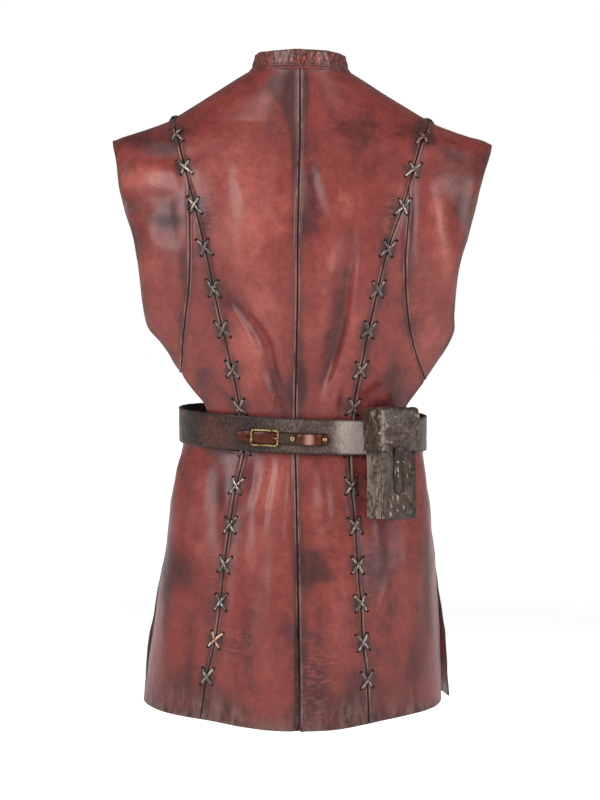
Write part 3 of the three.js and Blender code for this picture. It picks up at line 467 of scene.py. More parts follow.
def garment_leather():
    """Oxblood leather, rubbed lighter in places and burnished along its seams and edges, with painted sheen
    on crease ridges, seam edges and lit patches, and painted shade in crease troughs and round the crosses.
    """
    tint = colours()
    f = Finish("vest leather", Coat_Roughness=0.32, Specular_IOR_Level=0.15)
    seam, edge, lace = (f.attribute(name) for name in ("seam", "edge", "lace"))
    creped, crackle = f.attribute("creped"), f.attribute("crackle")
    blotch = f.noise(9, 4, 0.55)
    cloud = f.noise(30, 5, 0.65)
    streak = f.noise(70, 5, 0.7, f.stretched((1.0, 1.0, 0.3)))
    fine = f.noise(380, 4, 0.65)
    # This mixes real rubbing and dye with painted light. The wear attribute holds painted sheen on crease
    # ridges and lit patches and painted shade in crease troughs, so low values take the deep colour as
    # painted shade and high ones the rubbed colour as painted sheen.
    rubbed = f.attribute("worn") * 0.6 + blotch * 0.9 + cloud * 1.1 + streak * 0.6 - 0.87
    base = f.mix(rubbed.between(0.05, 0.55), tint.oxblood_deep_and_shade, tint.oxblood)
    base = f.mix(rubbed.between(0.5, 1.2), base, tint.oxblood_rubbed_and_sheen)
    base = f.mix((fine - 0.5).between(0.0, 0.25) * 0.4, base, tint.oxblood_deep_and_shade)
    mottle = f.noise(110, 4, 0.7)
    base = f.mix(mottle.between(0.5, 0.38) * 0.16, base, tint.oxblood_deep_and_shade)
    base = f.mix(mottle.between(0.54, 0.7) * 0.14, base, tint.oxblood_rubbed_and_sheen)
    vein = f.noise(45, 6, 0.8)
    thread = vein.between(0.485, 0.5, smooth=False) * vein.between(0.515, 0.5, smooth=False)
    base = f.mix(thread * cloud.between(0.45, 0.6) * 0.35, base, tint.oxblood_rubbed_and_sheen)
    ragged = cloud * 0.014 + streak * 0.012 - 0.013
    near_seam = (seam + ragged).between(0.011, 0.001) * 0.6
    near_edge = (edge + ragged).between(0.014, 0.0) * 0.7
    # Charcoal round the crosses: partly grime, partly painted contact shade where the thongs press in.
    lace_grime_and_shade = (lace + ragged).between(0.018, 0.005) * 0.82
    # This attribute also carries painted shade: the shadow beside the centre back seam near the hem, and the
    # collar's gutter and crinkle troughs.
    stain = (f.attribute("stain") + cloud * 0.6 + streak * 0.4 - 0.5).between(0.1, 0.85) * 0.83
    # All the charcoal marks together: real burnish and stains, with the painted shade round the crosses and
    # the painted shadows that the stain attribute carries.
    grime_and_shade = 1 - (1 - near_seam) * (1 - near_edge) * (1 - lace_grime_and_shade) * (1 - stain)
    ash = f.mix(streak.between(0.35, 0.7), tint.burnish_and_shade, (0.066, 0.024, 0.022))
    ash = f.mix(edge.between(0.055, 0.015) * streak.between(0.35, 0.65) * 0.9, ash, (0.15, 0.088, 0.076))
    base = f.mix(grime_and_shade.clipped(), base, ash)
    # Painted highlight on the raised edges beside each seam, where they catch the light.
    crest = seam.between(0.0009, 0.0015) * seam.between(0.0032, 0.0020) * streak.between(0.4, 0.62) * 0.8
    base = f.mix(crest, base, (0.26, 0.13, 0.11))
    groove = seam.between(0.0011, 0.0002) * 0.9
    cut_edge = edge.between(0.001, 0.0002) * 0.6
    base = f.mix((1 - (1 - groove) * (1 - cut_edge)).clipped(), base, (0.012, 0.008, 0.008))
    crumple = f.noise(270, 4, 0.6, f.stretched((0.36, 0.36, 1.0)))
    base = f.mix((creped * crumple.between(0.53, 0.42)).clipped() * 0.75, base, tint.burnish_and_shade)
    base = f.mix((creped * crumple.between(0.54, 0.64)).clipped() * 0.35, base, (0.24, 0.13, 0.11))
    craze = f.noise(620, 4, 0.6, f.stretched((1.0, 1.0, 0.3)))
    base = f.mix(crackle * craze.between(0.53, 0.62) * 0.75, base, (0.36, 0.1, 0.07))
    base = f.mix(crackle * craze.between(0.56, 0.42) * 0.75, base, (0.05, 0.012, 0.01))
    grain = f.cells(620) * 0.5 + f.noise(1300, 2) * 0.35
    wrinkle = f.noise(130, 5, 0.72) * 0.8
    normal = f.bumped(f.noise(24, 4, 0.6), 9.0 * MM, 0.6)
    normal = f.bumped(wrinkle, 3.4 * MM, 0.7, normal)
    normal = f.bumped(creped * crumple, 5.0 * MM, 0.8, normal)
    normal = f.bumped(crackle * craze, 1.4 * MM, 0.9, normal)
    normal = f.bumped(grain, 0.7 * MM, 0.6, normal)
    rough = (0.3 + cloud * 0.24 + fine * 0.08 + grime_and_shade * 0.04).clipped()
    return f.feeds(Base_Color=base, Roughness=rough, Coat_Weight=0.52 - stain * 0.34, Normal=normal)


def thong_leather():
    """Dark glossy thong, each cross a little lighter or darker than the next, with a painted highlight along
    the middle of each arm and painted shade along its edges.
    """
    tint = colours()
    f = Finish("thong leather", Coat_Weight=0.8, Coat_Roughness=0.12, Specular_IOR_Level=0.5)
    shade = f.attribute("shade")
    base = f.mix(shade.between(0.0, 0.75, smooth=False), tint.thong, (0.07, 0.03, 0.018))
    base = f.mix(shade.between(0.85, 0.95), base, (0.42, 0.14, 0.05))
    base = f.mix(f.noise(420, 4).between(0.42, 0.68) * 0.6, base, (0.02, 0.013, 0.012))
    # shine and gleam are a painted highlight down the middle of each arm, stronger on the lighter crosses.
    shine = f.attribute("side").between(0.7, 0.3) * f.noise(120, 3, 0.7).between(0.44, 0.58)
    gleam = f.mix(shade.between(0.2, 0.75), (0.3, 0.12, 0.07), (0.52, 0.43, 0.37))
    base = f.mix(shine * (0.4 + shade * 0.55), base, gleam)
    # Painted shade along the thong's turned-away edges.
    base = f.mix(f.attribute("side").between(0.35, 0.85), base, (0.012, 0.008, 0.007))
    normal = f.bumped(f.noise(500, 4), 0.5 * MM, 0.6)
    return f.feeds(Base_Color=base, Roughness=(0.2 + f.noise(260) * 0.16), Normal=normal)


def punched_hole():
    """The dark rim of a hole that a thong goes through: painted shade standing in for the opening."""
    f = Finish("punched hole", Specular_IOR_Level=0.1)
    base = f.mix(f.noise(300), (0.006, 0.004, 0.004), (0.022, 0.012, 0.011))
    return f.feeds(Base_Color=base, Roughness=(0.6 + f.noise(400) * 0.3))


def belt_leather():
    """Thick old leather with a pebbled grain, browner on the left and greyer on the right, with a painted
    sheen band right of its middle and light flecks that are partly grain and partly painted highlights on the
    pebbles.
    """
    tint = colours()
    f = Finish("belt leather", Coat_Weight=0.15, Coat_Roughness=0.25, Specular_IOR_Level=0.2)
    sideways = f.node("ShaderNodeSeparateXYZ", {}, {0: f.place}, out="X")
    blotch = f.noise(24, 5, 0.65)
    speck = f.noise(480, 3, 0.6, f.stretched((1.0, 1.0, 0.5)))
    pebble = f.cells(620)
    warm = (sideways + blotch * 0.05).between(-0.035, -0.075) * blotch.between(0.44, 0.58) * 0.55
    # pale is a painted sheen band right of the belt's middle.
    pale = (sideways + blotch * 0.05).between(0.06, 0.085) * (sideways + blotch * 0.02).between(0.102, 0.092)
    dusk = (sideways + blotch * 0.03).between(0.0, -0.05)
    base = f.mix(blotch.between(0.4, 0.62) * 0.6, tint.belt, (0.085, 0.058, 0.048))
    base = f.mix(dusk * 0.95, base, (0.014, 0.005, 0.003))
    base = f.mix(warm, base, (0.1, 0.026, 0.012))
    base = f.mix(pale * 0.8, base, (0.43, 0.35, 0.31))
    # Light flecks on the grain: partly grain tone, partly painted highlights on the pebbles.
    flecks_and_glints = speck.between(0.54, 0.66) * (0.1 + blotch * 0.45) * (1 - dusk * 0.6)
    base = f.mix(flecks_and_glints, base, (0.26, 0.19, 0.16))
    base = f.mix(speck.between(0.47, 0.36) * (0.75 - pale * 0.5), base, (0.014, 0.007, 0.005))
    base = f.mix(f.attribute("rim").between(0.004, 0.0), base, (0.016, 0.011, 0.01))
    crack = f.noise(170, 5, 0.72, f.stretched((1.0, 1.0, 0.6)))
    normal = f.bumped(crack, 3.0 * MM, 0.6)
    normal = f.bumped(1 - pebble, 1.1 * MM, 0.9, normal)
    return f.feeds(Base_Color=base, Roughness=(0.24 + blotch * 0.26).clipped(), Normal=normal)


def conker_leather():
    """Polished red-brown strap leather, blackened where the buckle has rubbed it, with a painted highlight on
    the keeper's middle.
    """
    tint = colours()
    f = Finish("conker strap leather", Coat_Weight=0.03, Coat_Roughness=0.2, Specular_IOR_Level=0.14)
    cloud = f.noise(110, 4, 0.65)
    base = f.mix(cloud.between(0.35, 0.7), tint.conker, (0.05, 0.014, 0.009))
    soot = f.mix(cloud.between(0.3, 0.7), (0.028, 0.016, 0.013), (0.06, 0.036, 0.028))
    base = f.mix(f.attribute("soot"), base, soot)
    # pale is the painted highlight on the keeper's middle.
    base = f.mix(f.attribute("pale") * (0.35 + cloud * 0.8), base, (0.44, 0.24, 0.2))
    base = f.mix(f.attribute("rim").between(0.0026, 0.0) * 0.9, base, (0.012, 0.006, 0.005))
    normal = f.bumped(f.noise(240, 4, 0.6), 0.7 * MM, 0.45)
    return f.feeds(Base_Color=base, Roughness=(0.17 + cloud * 0.16).clipped(), Normal=normal)


def pouch_leather():
    """Waxed dark brown leather with a paler left gusset, painted highlights along the crests of its wrinkles,
    on its lumps, the lid's left front corner and the left welt, painted shade in its hollows and a painted
    shadow under the lid.
    """
    tint = colours()
    f = Finish("pouch leather", Coat_Weight=0.2, Coat_Roughness=0.16, Specular_IOR_Level=0.3)
    cloud = f.noise(38, 4, 0.6)
    lump = f.noise(150, 4, 0.65)
    fine = f.noise(420, 4, 0.7)
    crest = f.attribute("crest")
    base = f.mix(cloud.between(0.4, 0.6), tint.pouch, (0.06, 0.025, 0.013))
    # Painted highlight on the raised lumps of the bump.
    base = f.mix((lump * 0.6 + fine * 0.4).between(0.5, 0.64) * 0.45, base, (0.12, 0.08, 0.052))
    # pale makes the left gusset paler and paints highlights on the lid's left front corner and the left
    # welt's edges.
    base = f.mix(f.attribute("pale") * (0.5 + cloud * 0.7), base, (0.27, 0.225, 0.175))
    # Painted glints along the wrinkles' crests.
    base = f.mix(crest.between(0.3, 0.8) * fine.between(0.32, 0.55) * 0.75, base, (0.46, 0.37, 0.29))
    # Painted shade in the hollows between the wrinkles and lumps.
    base = f.mix(crest.between(0.25, 0.0) * lump.between(0.55, 0.4) * 0.8, base, (0.012, 0.007, 0.005))
    hollow = lump.between(0.43, 0.35) * (0.85 - f.attribute("pale") * 0.8).clipped()
    base = f.mix(hollow, base, (0.01, 0.006, 0.004))
    # deep darkens the tongue, and on the body just under the lid it is the lid's painted shadow.
    base = f.mix(f.attribute("deep"), base, (0.016, 0.009, 0.006))
    base = f.mix(f.attribute("rim").between(0.0025, 0.0) * 0.8, base, (0.012, 0.009, 0.008))
    normal = f.bumped(lump, 6.0 * MM, 0.8)
    normal = f.bumped(fine, 1.6 * MM, 0.7, normal)
    rough = (0.2 + cloud * 0.16 + fine * 0.12).clipped()
    return f.feeds(Base_Color=base, Roughness=rough, Normal=normal)


def aged_brass():
    """Brass with a dull tarnish in patches."""
    tint = colours()
    f = Finish("aged brass", Metallic=1.0)
    patch = f.noise(300, 4, 0.65)
    base = f.mix(patch.between(0.4, 0.62), tint.brass, (0.13, 0.08, 0.04))
    normal = f.bumped(f.noise(500, 3), 0.3 * MM, 0.4)
    return f.feeds(Base_Color=base, Roughness=(0.2 + patch * 0.25).clipped(), Normal=normal)


def pale_floor():
    """A pale floor that fades into the white round it."""
    f = Finish("pale floor", Roughness=0.8, Emission_Strength=1.0)
    base = f.mix(f.noise(3), (0.84, 0.84, 0.84), (0.87, 0.87, 0.87))
    away = f.node("ShaderNodeVectorMath", {"operation": "LENGTH"}, {0: f.place}, out="Value")
    glow = f.mix(away.between(1.2, 6.5), (0.25, 0.25, 0.25), (1, 1, 1))
    return f.feeds(Base_Color=base, Emission_Color=glow)


FINISHES = {
    "vest_leather": garment_leather,
    "thong_leather": thong_leather,
    "hole": punched_hole,
    "belt_leather": belt_leather,
    "strap_leather": conker_leather,
    "pouch_leather": pouch_leather,
    "brass": aged_brass,
    "floor": pale_floor,
}
made_finishes = {}


def finish(name):
    """The finish of a material slot, made the first time that it is asked for."""
    if name not in made_finishes:
        made_finishes[name] = FINISHES[name]()
    return made_finishes[name]


# ------------------------------------------------------------------ pieces and meshes


def as_piece(piece, slot, *nodes):
    """Finishes a piece: its material, the body it rides on and the CAD nodes it stands for."""
    piece.data.materials.clear()
    piece.data.materials.append(finish(slot))
    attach(piece, "root")
    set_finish(piece, slot)
    if nodes:
        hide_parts(*nodes)
    return piece


def mesh_piece(name, points, faces, **attributes):
    """A smooth closed mesh whose faces point outwards, with a value at each point."""
    mesh = bpy.data.meshes.new(name)
    mesh.from_pydata(points.tolist(), [], faces)
    for key, values in attributes.items():
        mesh.attributes.new(key, "FLOAT", "POINT").data.foreach_set("value", values.astype(np.float32))
    mesh.polygons.foreach_set("use_smooth", [True] * len(mesh.polygons))
    corners = np.array([loop.vertices[:3] for loop in mesh.polygons])
    a, b, c = (points[corners[:, k]] for k in range(3))
    if (a * np.cross(b, c)).sum() < 0:
        mesh.flip_normals()
    mesh.update()
    piece = bpy.data.objects.new(name, mesh)
    bpy.context.scene.collection.objects.link(piece)
    return piece


def grid_faces(rows, columns):
    index = np.arange(rows * columns).reshape(rows, columns)
    return np.stack([index[:-1, :-1], index[:-1, 1:], index[1:, 1:], index[1:, :-1]], -1).reshape(-1, 4)


def wall_piece(name, outer, inner, **attributes):
    """A wall between two grids of points, closed by a rim."""
    rows, columns = outer.shape[:2]
    count = rows * columns
    index = np.arange(count).reshape(rows, columns)
    front = grid_faces(rows, columns)
    rim = np.concatenate([index[0, :-1], index[:-1, -1], index[-1, :0:-1], index[:0:-1, 0]])
    onward = np.roll(rim, -1)
    sides = np.stack([onward, rim, rim + count, onward + count], -1)
    faces = np.concatenate([front, front[:, ::-1] + count, sides]).tolist()
    points = np.concatenate([outer.reshape(-1, 3), inner.reshape(-1, 3)])
    doubled = {key: np.tile(values.ravel(), 2) for key, values in attributes.items()}
    return mesh_piece(name, points, faces, **doubled)


def loft_piece(name, rings, joined=False, **attributes):
    """A skin over rings of points. Its ends meet, or each is filled."""
    count, around = rings.shape[:2]
    index = np.arange(count * around).reshape(count, around)
    loop = np.vstack([index, index[:1]]) if joined else index
    a, b = loop[:-1], loop[1:]
    faces = np.stack([a, np.roll(a, -1, 1), np.roll(b, -1, 1), b], -1).reshape(-1, 4).tolist()
    if not joined:
        faces += [index[0][::-1].tolist(), index[-1].tolist()]
    flat = {key: values.ravel() for key, values in attributes.items()}
    return mesh_piece(name, rings.reshape(-1, 3), faces, **flat)


def rounding(nearest):
    """0 to 1: how far a wall's face has drawn in at a share of the way from its cut edge."""
    return 1 - np.sqrt(np.clip(1 - (1 - nearest) ** 2, 0, 1))


def unit(vectors):
    return vectors / np.maximum(np.linalg.norm(vectors, axis=-1, keepdims=True), 1e-9)


def ease(low, high, value):
    t = np.clip((value - low) / (high - low), 0, 1)
    return t * t * (3 - 2 * t)


def bell(value, width):
    return np.exp(-((value / width) ** 2))


def wander(points, scale, seed=0.0, octaves=3):
    """Soft noise from about -1 to 1 at each point."""
    shape = points.shape[:-1]
    flat = points.reshape(-1, 3) * scale + seed
    values = [noise.fractal(Vector(p), 0.9, 2.0, octaves) for p in flat]
    return np.array(values).reshape(shape)


# ------------------------------------------------------------------ reading the frame


def merged_frame_mesh(name):
    """A copy of a CAD node with its loose triangles merged."""
    mesh = bmesh.new()
    mesh.from_mesh(frame["nodes"][name].data)
    bmesh.ops.remove_doubles(mesh, verts=mesh.verts, dist=0.01 * MM)
    return mesh


def frame_points(name):
    mesh = merged_frame_mesh(name)
    points = np.array([v.co for v in mesh.verts])
    mesh.free()
    return points


def lattice_from(first, square):
    """Walks over triangles that halve the cells of a grid, and gives each point its row and column."""
    corners = list(first.verts)
    start = corners[square]
    other = [v for v in corners if v is not start]
    cell = {start: (0, 0), other[0]: (1, 0), other[1]: (0, 1)}
    queue, seen = [first], {first}
    while queue:
        face = queue.pop()
        for edge in face.edges:
            across = [f for f in edge.link_faces if f is not face and f.tag]
            if not across or across[0] in seen:
                continue
            a, b = edge.verts
            behind = next(v for v in face.verts if v not in (a, b))
            ahead = next(v for v in across[0].verts if v not in (a, b))
            cell[ahead] = tuple(cell[a][k] + cell[b][k] - cell[behind][k] for k in (0, 1))
            seen.add(across[0])
            queue.append(across[0])
    return cell


def frame_lattice(name, first_row, first_column):
    """The grid of points on the outer face of a CAD wall.

    first_row and first_column are directions towards its first row and its first column.
    """
    leather = sizes().leather
    mesh = merged_frame_mesh(name)
    for face in mesh.faces:
        face.tag = all(abs(edge.calc_length() - leather) > 0.004 * MM for edge in face.edges)
    middle = Vector(BODY_MIDDLE)
    islands, left = [], {f for f in mesh.faces if f.tag}
    while left:
        island, queue = [], [left.pop()]
        while queue:
            face = queue.pop()
            island.append(face)
            near = {f for edge in face.edges for f in edge.link_faces if f in left}
            left -= near
            queue.extend(near)
        outward = sum(f.calc_area() * f.normal.dot(f.calc_center_median() - middle) for f in island)
        islands.append((outward, island))
    island = max(islands, key=lambda pair: pair[0])[1]
    for face in mesh.faces:
        face.tag = False
    for face in island:
        face.tag = True
    for square in range(3):
        cell = lattice_from(island[len(island) // 2], square)
        places = np.array(list(cell.values()))
        low, high = places.min(0), places.max(0)
        if np.prod(high - low + 1) == len(cell) == len(set(cell.values())):
            break
    else:
        raise RuntimeError(f"the outer face of {name} isn't a grid")
    grid = np.zeros((*(high - low + 1), 3))
    for vert, place in cell.items():
        grid[tuple(np.array(place) - low)] = vert.co
    mesh.free()
    if grid.shape[0] < grid.shape[1]:
        grid = grid.transpose(1, 0, 2)
    half = len(grid) // 2
    if np.dot(grid[:half].mean((0, 1)) - grid[half:].mean((0, 1)), first_row) < 0:
        grid = grid[::-1]
    if np.dot((grid[:, 0] - grid[:, -1]).mean(0), first_column) < 0:
        grid = grid[:, ::-1]
    return grid


def distances_along(points):
    """How far along a line each of its points is."""
    run = np.linalg.norm(np.diff(points, axis=0), axis=1)
    return np.concatenate([[0], np.cumsum(run)])


def along_rows(grid, knots, at):
    """Rows at new places on smooth curves through the rows of a grid."""
    step = np.diff(knots)
    rise = np.diff(grid, axis=0) / step[:, None, None]
    share = (step[1:] / (step[1:] + step[:-1]))[:, None, None]
    slope = np.concatenate([rise[:1], rise[:-1] * share + rise[1:] * (1 - share), rise[-1:]])
    i = np.clip(np.searchsorted(knots, at, side="right") - 1, 0, len(step) - 1)
    span = step[i][:, None, None]
    t = ((at - knots[i]) / step[i])[:, None, None]
    u = 1 - t
    ends = grid[i] * (1 + 2 * t) * u * u + grid[i + 1] * (3 - 2 * t) * t * t
    return ends + (slope[i] * t * u * u - slope[i + 1] * t * t * u) * span


def across_rows(grid, shares):
    """Points at shares of each row, on smooth curves through the columns of a grid."""
    last = grid.shape[1] - 1
    slope = np.gradient(grid, axis=1)
    i = np.minimum((shares * last).astype(int), last - 1)
    t = (shares * last - i)[..., None]
    u = 1 - t

    def take(values, index):
        return np.take_along_axis(values, index[..., None], axis=1)

    ends = take(grid, i) * (1 + 2 * t) * u * u + take(grid, i + 1) * (3 - 2 * t) * t * t
    return ends + take(slope, i) * t * u * u - take(slope, i + 1) * t * t * u


EDGE_STEPS = np.array([0, 0.35, 0.9, 1.7, 2.7, 4.0, 6.0]) * MM


def spaced(length, step):
    """Places along a length, close together near its ends."""
    close = EDGE_STEPS * min(1.0, length / (3 * EDGE_STEPS[-1]))
    inside = max(int(round((length - 2 * close[-1]) / step)), 1)
    middle = np.linspace(close[-1], length - close[-1], inside + 1)[1:-1]
    return np.concatenate([close, middle, (length - close)[::-1]])


def fine_panel(grid, guide):
    """A fine grid over a panel and the distances of its points from the panel's four edges.

    The rows are spaced along the guide column.
    """
    knots = distances_along(grid[:, guide])
    step = sizes().mesh_step
    down = spaced(knots[-1], step)
    rows = along_rows(grid, knots, down)
    width = np.linalg.norm(np.diff(rows, axis=1), axis=2).sum(1)
    widest = spaced(width.max(), step)
    ends = len(EDGE_STEPS)
    squeeze = np.minimum(1, width / (3 * EDGE_STEPS[-1]))[:, None]
    near = EDGE_STEPS[None] * squeeze
    inner_share = (widest[ends:-ends] - widest[ends - 1]) / (widest[-ends] - widest[ends - 1])
    start, end = near[:, -1:], width[:, None] - near[:, -1:]
    places = np.concatenate([near, start + (end - start) * inner_share, width[:, None] - near[:, ::-1]], 1)
    points = across_rows(rows, places / width[:, None])
    down_grid = np.broadcast_to(down[:, None], places.shape)
    edges = {
        "first": places,
        "last": width[:, None] - places,
        "top": down_grid,
        "bottom": knots[-1] - down_grid,
    }
    return points, edges


def outward_normals(points, middle):
    down = np.gradient(points, axis=0)
    across = np.gradient(points, axis=1)
    normal = unit(np.cross(down, across))
    toward = (normal * (points - np.array(middle))).sum(-1).mean()
    return normal if toward > 0 else -normal


# ------------------------------------------------------------------ how leather lies


def crease_lift(points, creases):
    """Millimetres that the creases lift each point."""
    x, z = points[..., 0] / MM, points[..., 2] / MM
    lift = np.zeros(x.shape)
    for width, depth, *places in creases:
        line_x, line_z = np.array(places).T
        top, end = line_z[0], line_z[-1]
        reach = np.clip((top - z) / (top - end), -0.2, 1.2)
        aside = x - np.interp(-z, -line_z, line_x)
        spread = width * (0.7 + 0.5 * np.clip(reach, 0, 1))
        strength = ease(-0.12, 0.42, reach) * ease(1.12, 0.66, reach)
        lean = spread * np.where(aside * depth > 0, 1.3, 0.8)
        lift += depth * sizes().crease_depth * strength * bell(aside, lean)
    return lift


def under_belt(points):
    """1 under the belt and a little beyond its edges, and 0 elsewhere."""
    away = np.abs(points[..., 2] - BELT_HEIGHT - BELT_SLOPE * points[..., 0])
    return ease(42 * MM, 24 * MM, away)


def blotches(points, rows):
    """The sum of the soft ellipses of a table at each point."""
    x, z = points[..., 0] / MM, points[..., 2] / MM
    total = np.zeros(x.shape)
    for row in rows:
        away = ((x - row["x"]) / row["half_width"]) ** 2 + ((z - row["z"]) / row["half_height"]) ** 2
        total += row["strength"] * np.exp(-away)
    return total


def both_faces(points, tables, value_of):
    """A value from the back's table behind the shoulder ridge and from the front's before it."""
    forward = ease(-12 * MM, 12 * MM, points[..., 1])
    back, front = (value_of(points, tables[face]) for face in ("back", "front"))
    return back * (1 - forward) + front * forward


def box_middle(name):
    return np.array(sum(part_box(name), Vector()) / 2)


def crosses(start="lace_"):
    """The names of the crosses, from the left seam's shoulder to the right seam's hem."""
    return sorted(name for name in frame["nodes"] if name.startswith(start))


def leather_panel(name, grid, guide, seams):
    """One cut piece of the vest: a wall that follows its CAD grid, creased, with rounded edges.

    seams names the edges that are sewn or laced, and the others are free.
    """
    leather, ridge = sizes().leather, sizes().seam_ridge
    points, edges = fine_panel(grid, guide)
    normal = outward_normals(points, BODY_MIDDLE)
    far = np.full(points.shape[:2], FAR)
    seam = np.minimum.reduce([far, *[edges[key] for key in seams]])
    edge = np.minimum.reduce([far, *[edges[key] for key in edges if key not in seams]])
    centres = np.array([box_middle(cross) for cross in crosses()])
    lace = np.linalg.norm(points[:, :, None] - centres[None, None], axis=-1).min(-1)
    if name.startswith("back_side"):
        tip = unit(points[0].mean(0) - points[8].mean(0))
        points[:2] += (9.0 * tip - 1.2 * normal[:2]) * MM
    for key, column in (("first", 0), ("last", -1)):
        if key in seams:
            beyond = points[:, column] - points[:, (1, -2)[column]]
            points[:, column] += unit(beyond) * 0.16 * MM
    folds = both_faces(points, CREASES, crease_lift)
    folds = folds * ease(0, 0.014, seam) * ease(-0.004, 0.02, edge)
    pressed = under_belt(points)
    folds = folds * (1 - 0.7 * pressed) - 0.8 * pressed
    waves = wander(points, 17, 3.1, 2) * 1.0 + wander(points, 55, 7.7, 2) * 0.22
    beside = bell(seam - 2.4 * MM, 1.3 * MM) * ridge / MM - bell(seam, 0.8 * MM) * 0.35
    pulled = -0.8 * bell(lace, 7 * MM) * (seam < 20 * MM)
    rolled = 0.9 * bell(edge, 4 * MM) * (0.5 + wander(points, 30, 11.0, 2))
    lift = (folds + waves * ease(0, 0.01, seam) + beside + pulled + rolled) * MM
    lift = lift + hem_step(name, points, edges["first"])
    nearest = np.minimum(seam, edge)
    thin = 0.5 * leather * rounding(np.minimum(nearest / (0.9 * MM), 1)) * 0.75
    surface = points + normal * lift[..., None]
    outer = surface - normal * thin[..., None]
    inner = surface - normal * (leather - thin)[..., None]
    stain = both_faces(points, STAINS_AND_SHADOW, blotches)
    stain = stain + 0.5 * ease(*HEM, points[..., 2])
    # The patches hold painted sheen and painted shade as well as rubbing and dye, and the creases' heights
    # paint their ridges lighter and their troughs darker as painted shade.
    worn = both_faces(points, PATCHES, blotches) + 0.11 * folds
    creped = both_faces(points, CREPED, blotches)
    values = {"seam": seam, "edge": edge, "lace": lace, "stain": stain, "worn": worn, "creped": creped}
    piece = wall_piece(name, outer, inner, **values)
    as_piece(piece, "vest_leather", name)
    return piece, surface


def hem_step(name, points, aside):
    """Towards the hem the left centre back drops beside its seam and the right one stands up."""
    height = {"back_centre_left": -4.6 * MM, "back_centre_right": 2.4 * MM}.get(name, 0)
    return height * bell(aside, 6.5 * MM) * ease(-0.63, -0.74, points[..., 2])


def flat_size(surface):
    """The width, length and area of the cut that a panel's surface lies in."""
    width = np.linalg.norm(np.diff(surface, axis=1), axis=2).sum(1).max()
    length = np.linalg.norm(np.diff(surface, axis=0), axis=2).sum(0).max()
    a, b, c, d = surface[:-1, :-1], surface[:-1, 1:], surface[1:, 1:], surface[1:, :-1]
    area = np.linalg.norm(np.cross(c - a, d - b), axis=-1).sum() / 2
    return (width, length), max(area, 0.3 * width * length)


def declare_sheet(piece, surface, **more):
    flat, area = flat_size(surface)


def sewn_panel(kind, side, guide, seams, first_row=(0, 0, 1), **more):
    """One of a pair of panels, from its CAD wall to its finished piece."""
    name = f"{kind}_{side}"
    grid = frame_lattice(name, first_row, (-SIDES[side], 0, 0))
    piece, surface = leather_panel(name, grid, guide, seams)
    declare_sheet(piece, surface, **more)


# ------------------------------------------------------------------ the vest


# Each back panel's guide column, for the spacing of its rows, and its sewn or laced edges.
BACK_PANELS = {
    "back_centre": {"guide": -1, "seams": ("first", "last", "top")},
    "back_side": {"guide": 0, "seams": ("first", "last", "bottom")},
    "skirt_side": {"guide": 0, "seams": ("first", "top")},
}


class VEST_OT_back(bpy.types.Operator):
    """Builds the centre backs, the side backs and the back of the skirt"""

    bl_idname = "vest.back"
    bl_label = "Back panels"

    def execute(self, context):
        for side in SIDES:
            for kind, cut in BACK_PANELS.items():
                sewn_panel(kind, side, rests_on=["belt"], **cut)
        return {"FINISHED"}


class VEST_OT_caps(bpy.types.Operator):
    """Builds the caps over the shoulders"""

    bl_idname = "vest.caps"
    bl_label = "Shoulder caps"

    def execute(self, context):
        for side in SIDES:
            sewn_panel("cap", side, 0, ("first",), first_row=(0, -1, 0))
        return {"FINISHED"}


class VEST_OT_fronts(bpy.types.Operator):
    """Builds the two fronts"""

    bl_idname = "vest.fronts"
    bl_label = "Fronts"

    def execute(self, context):
        for side in SIDES:
            sewn_panel("front", side, -1, ("top",), rests_on=["belt"])
        return {"FINISHED"}


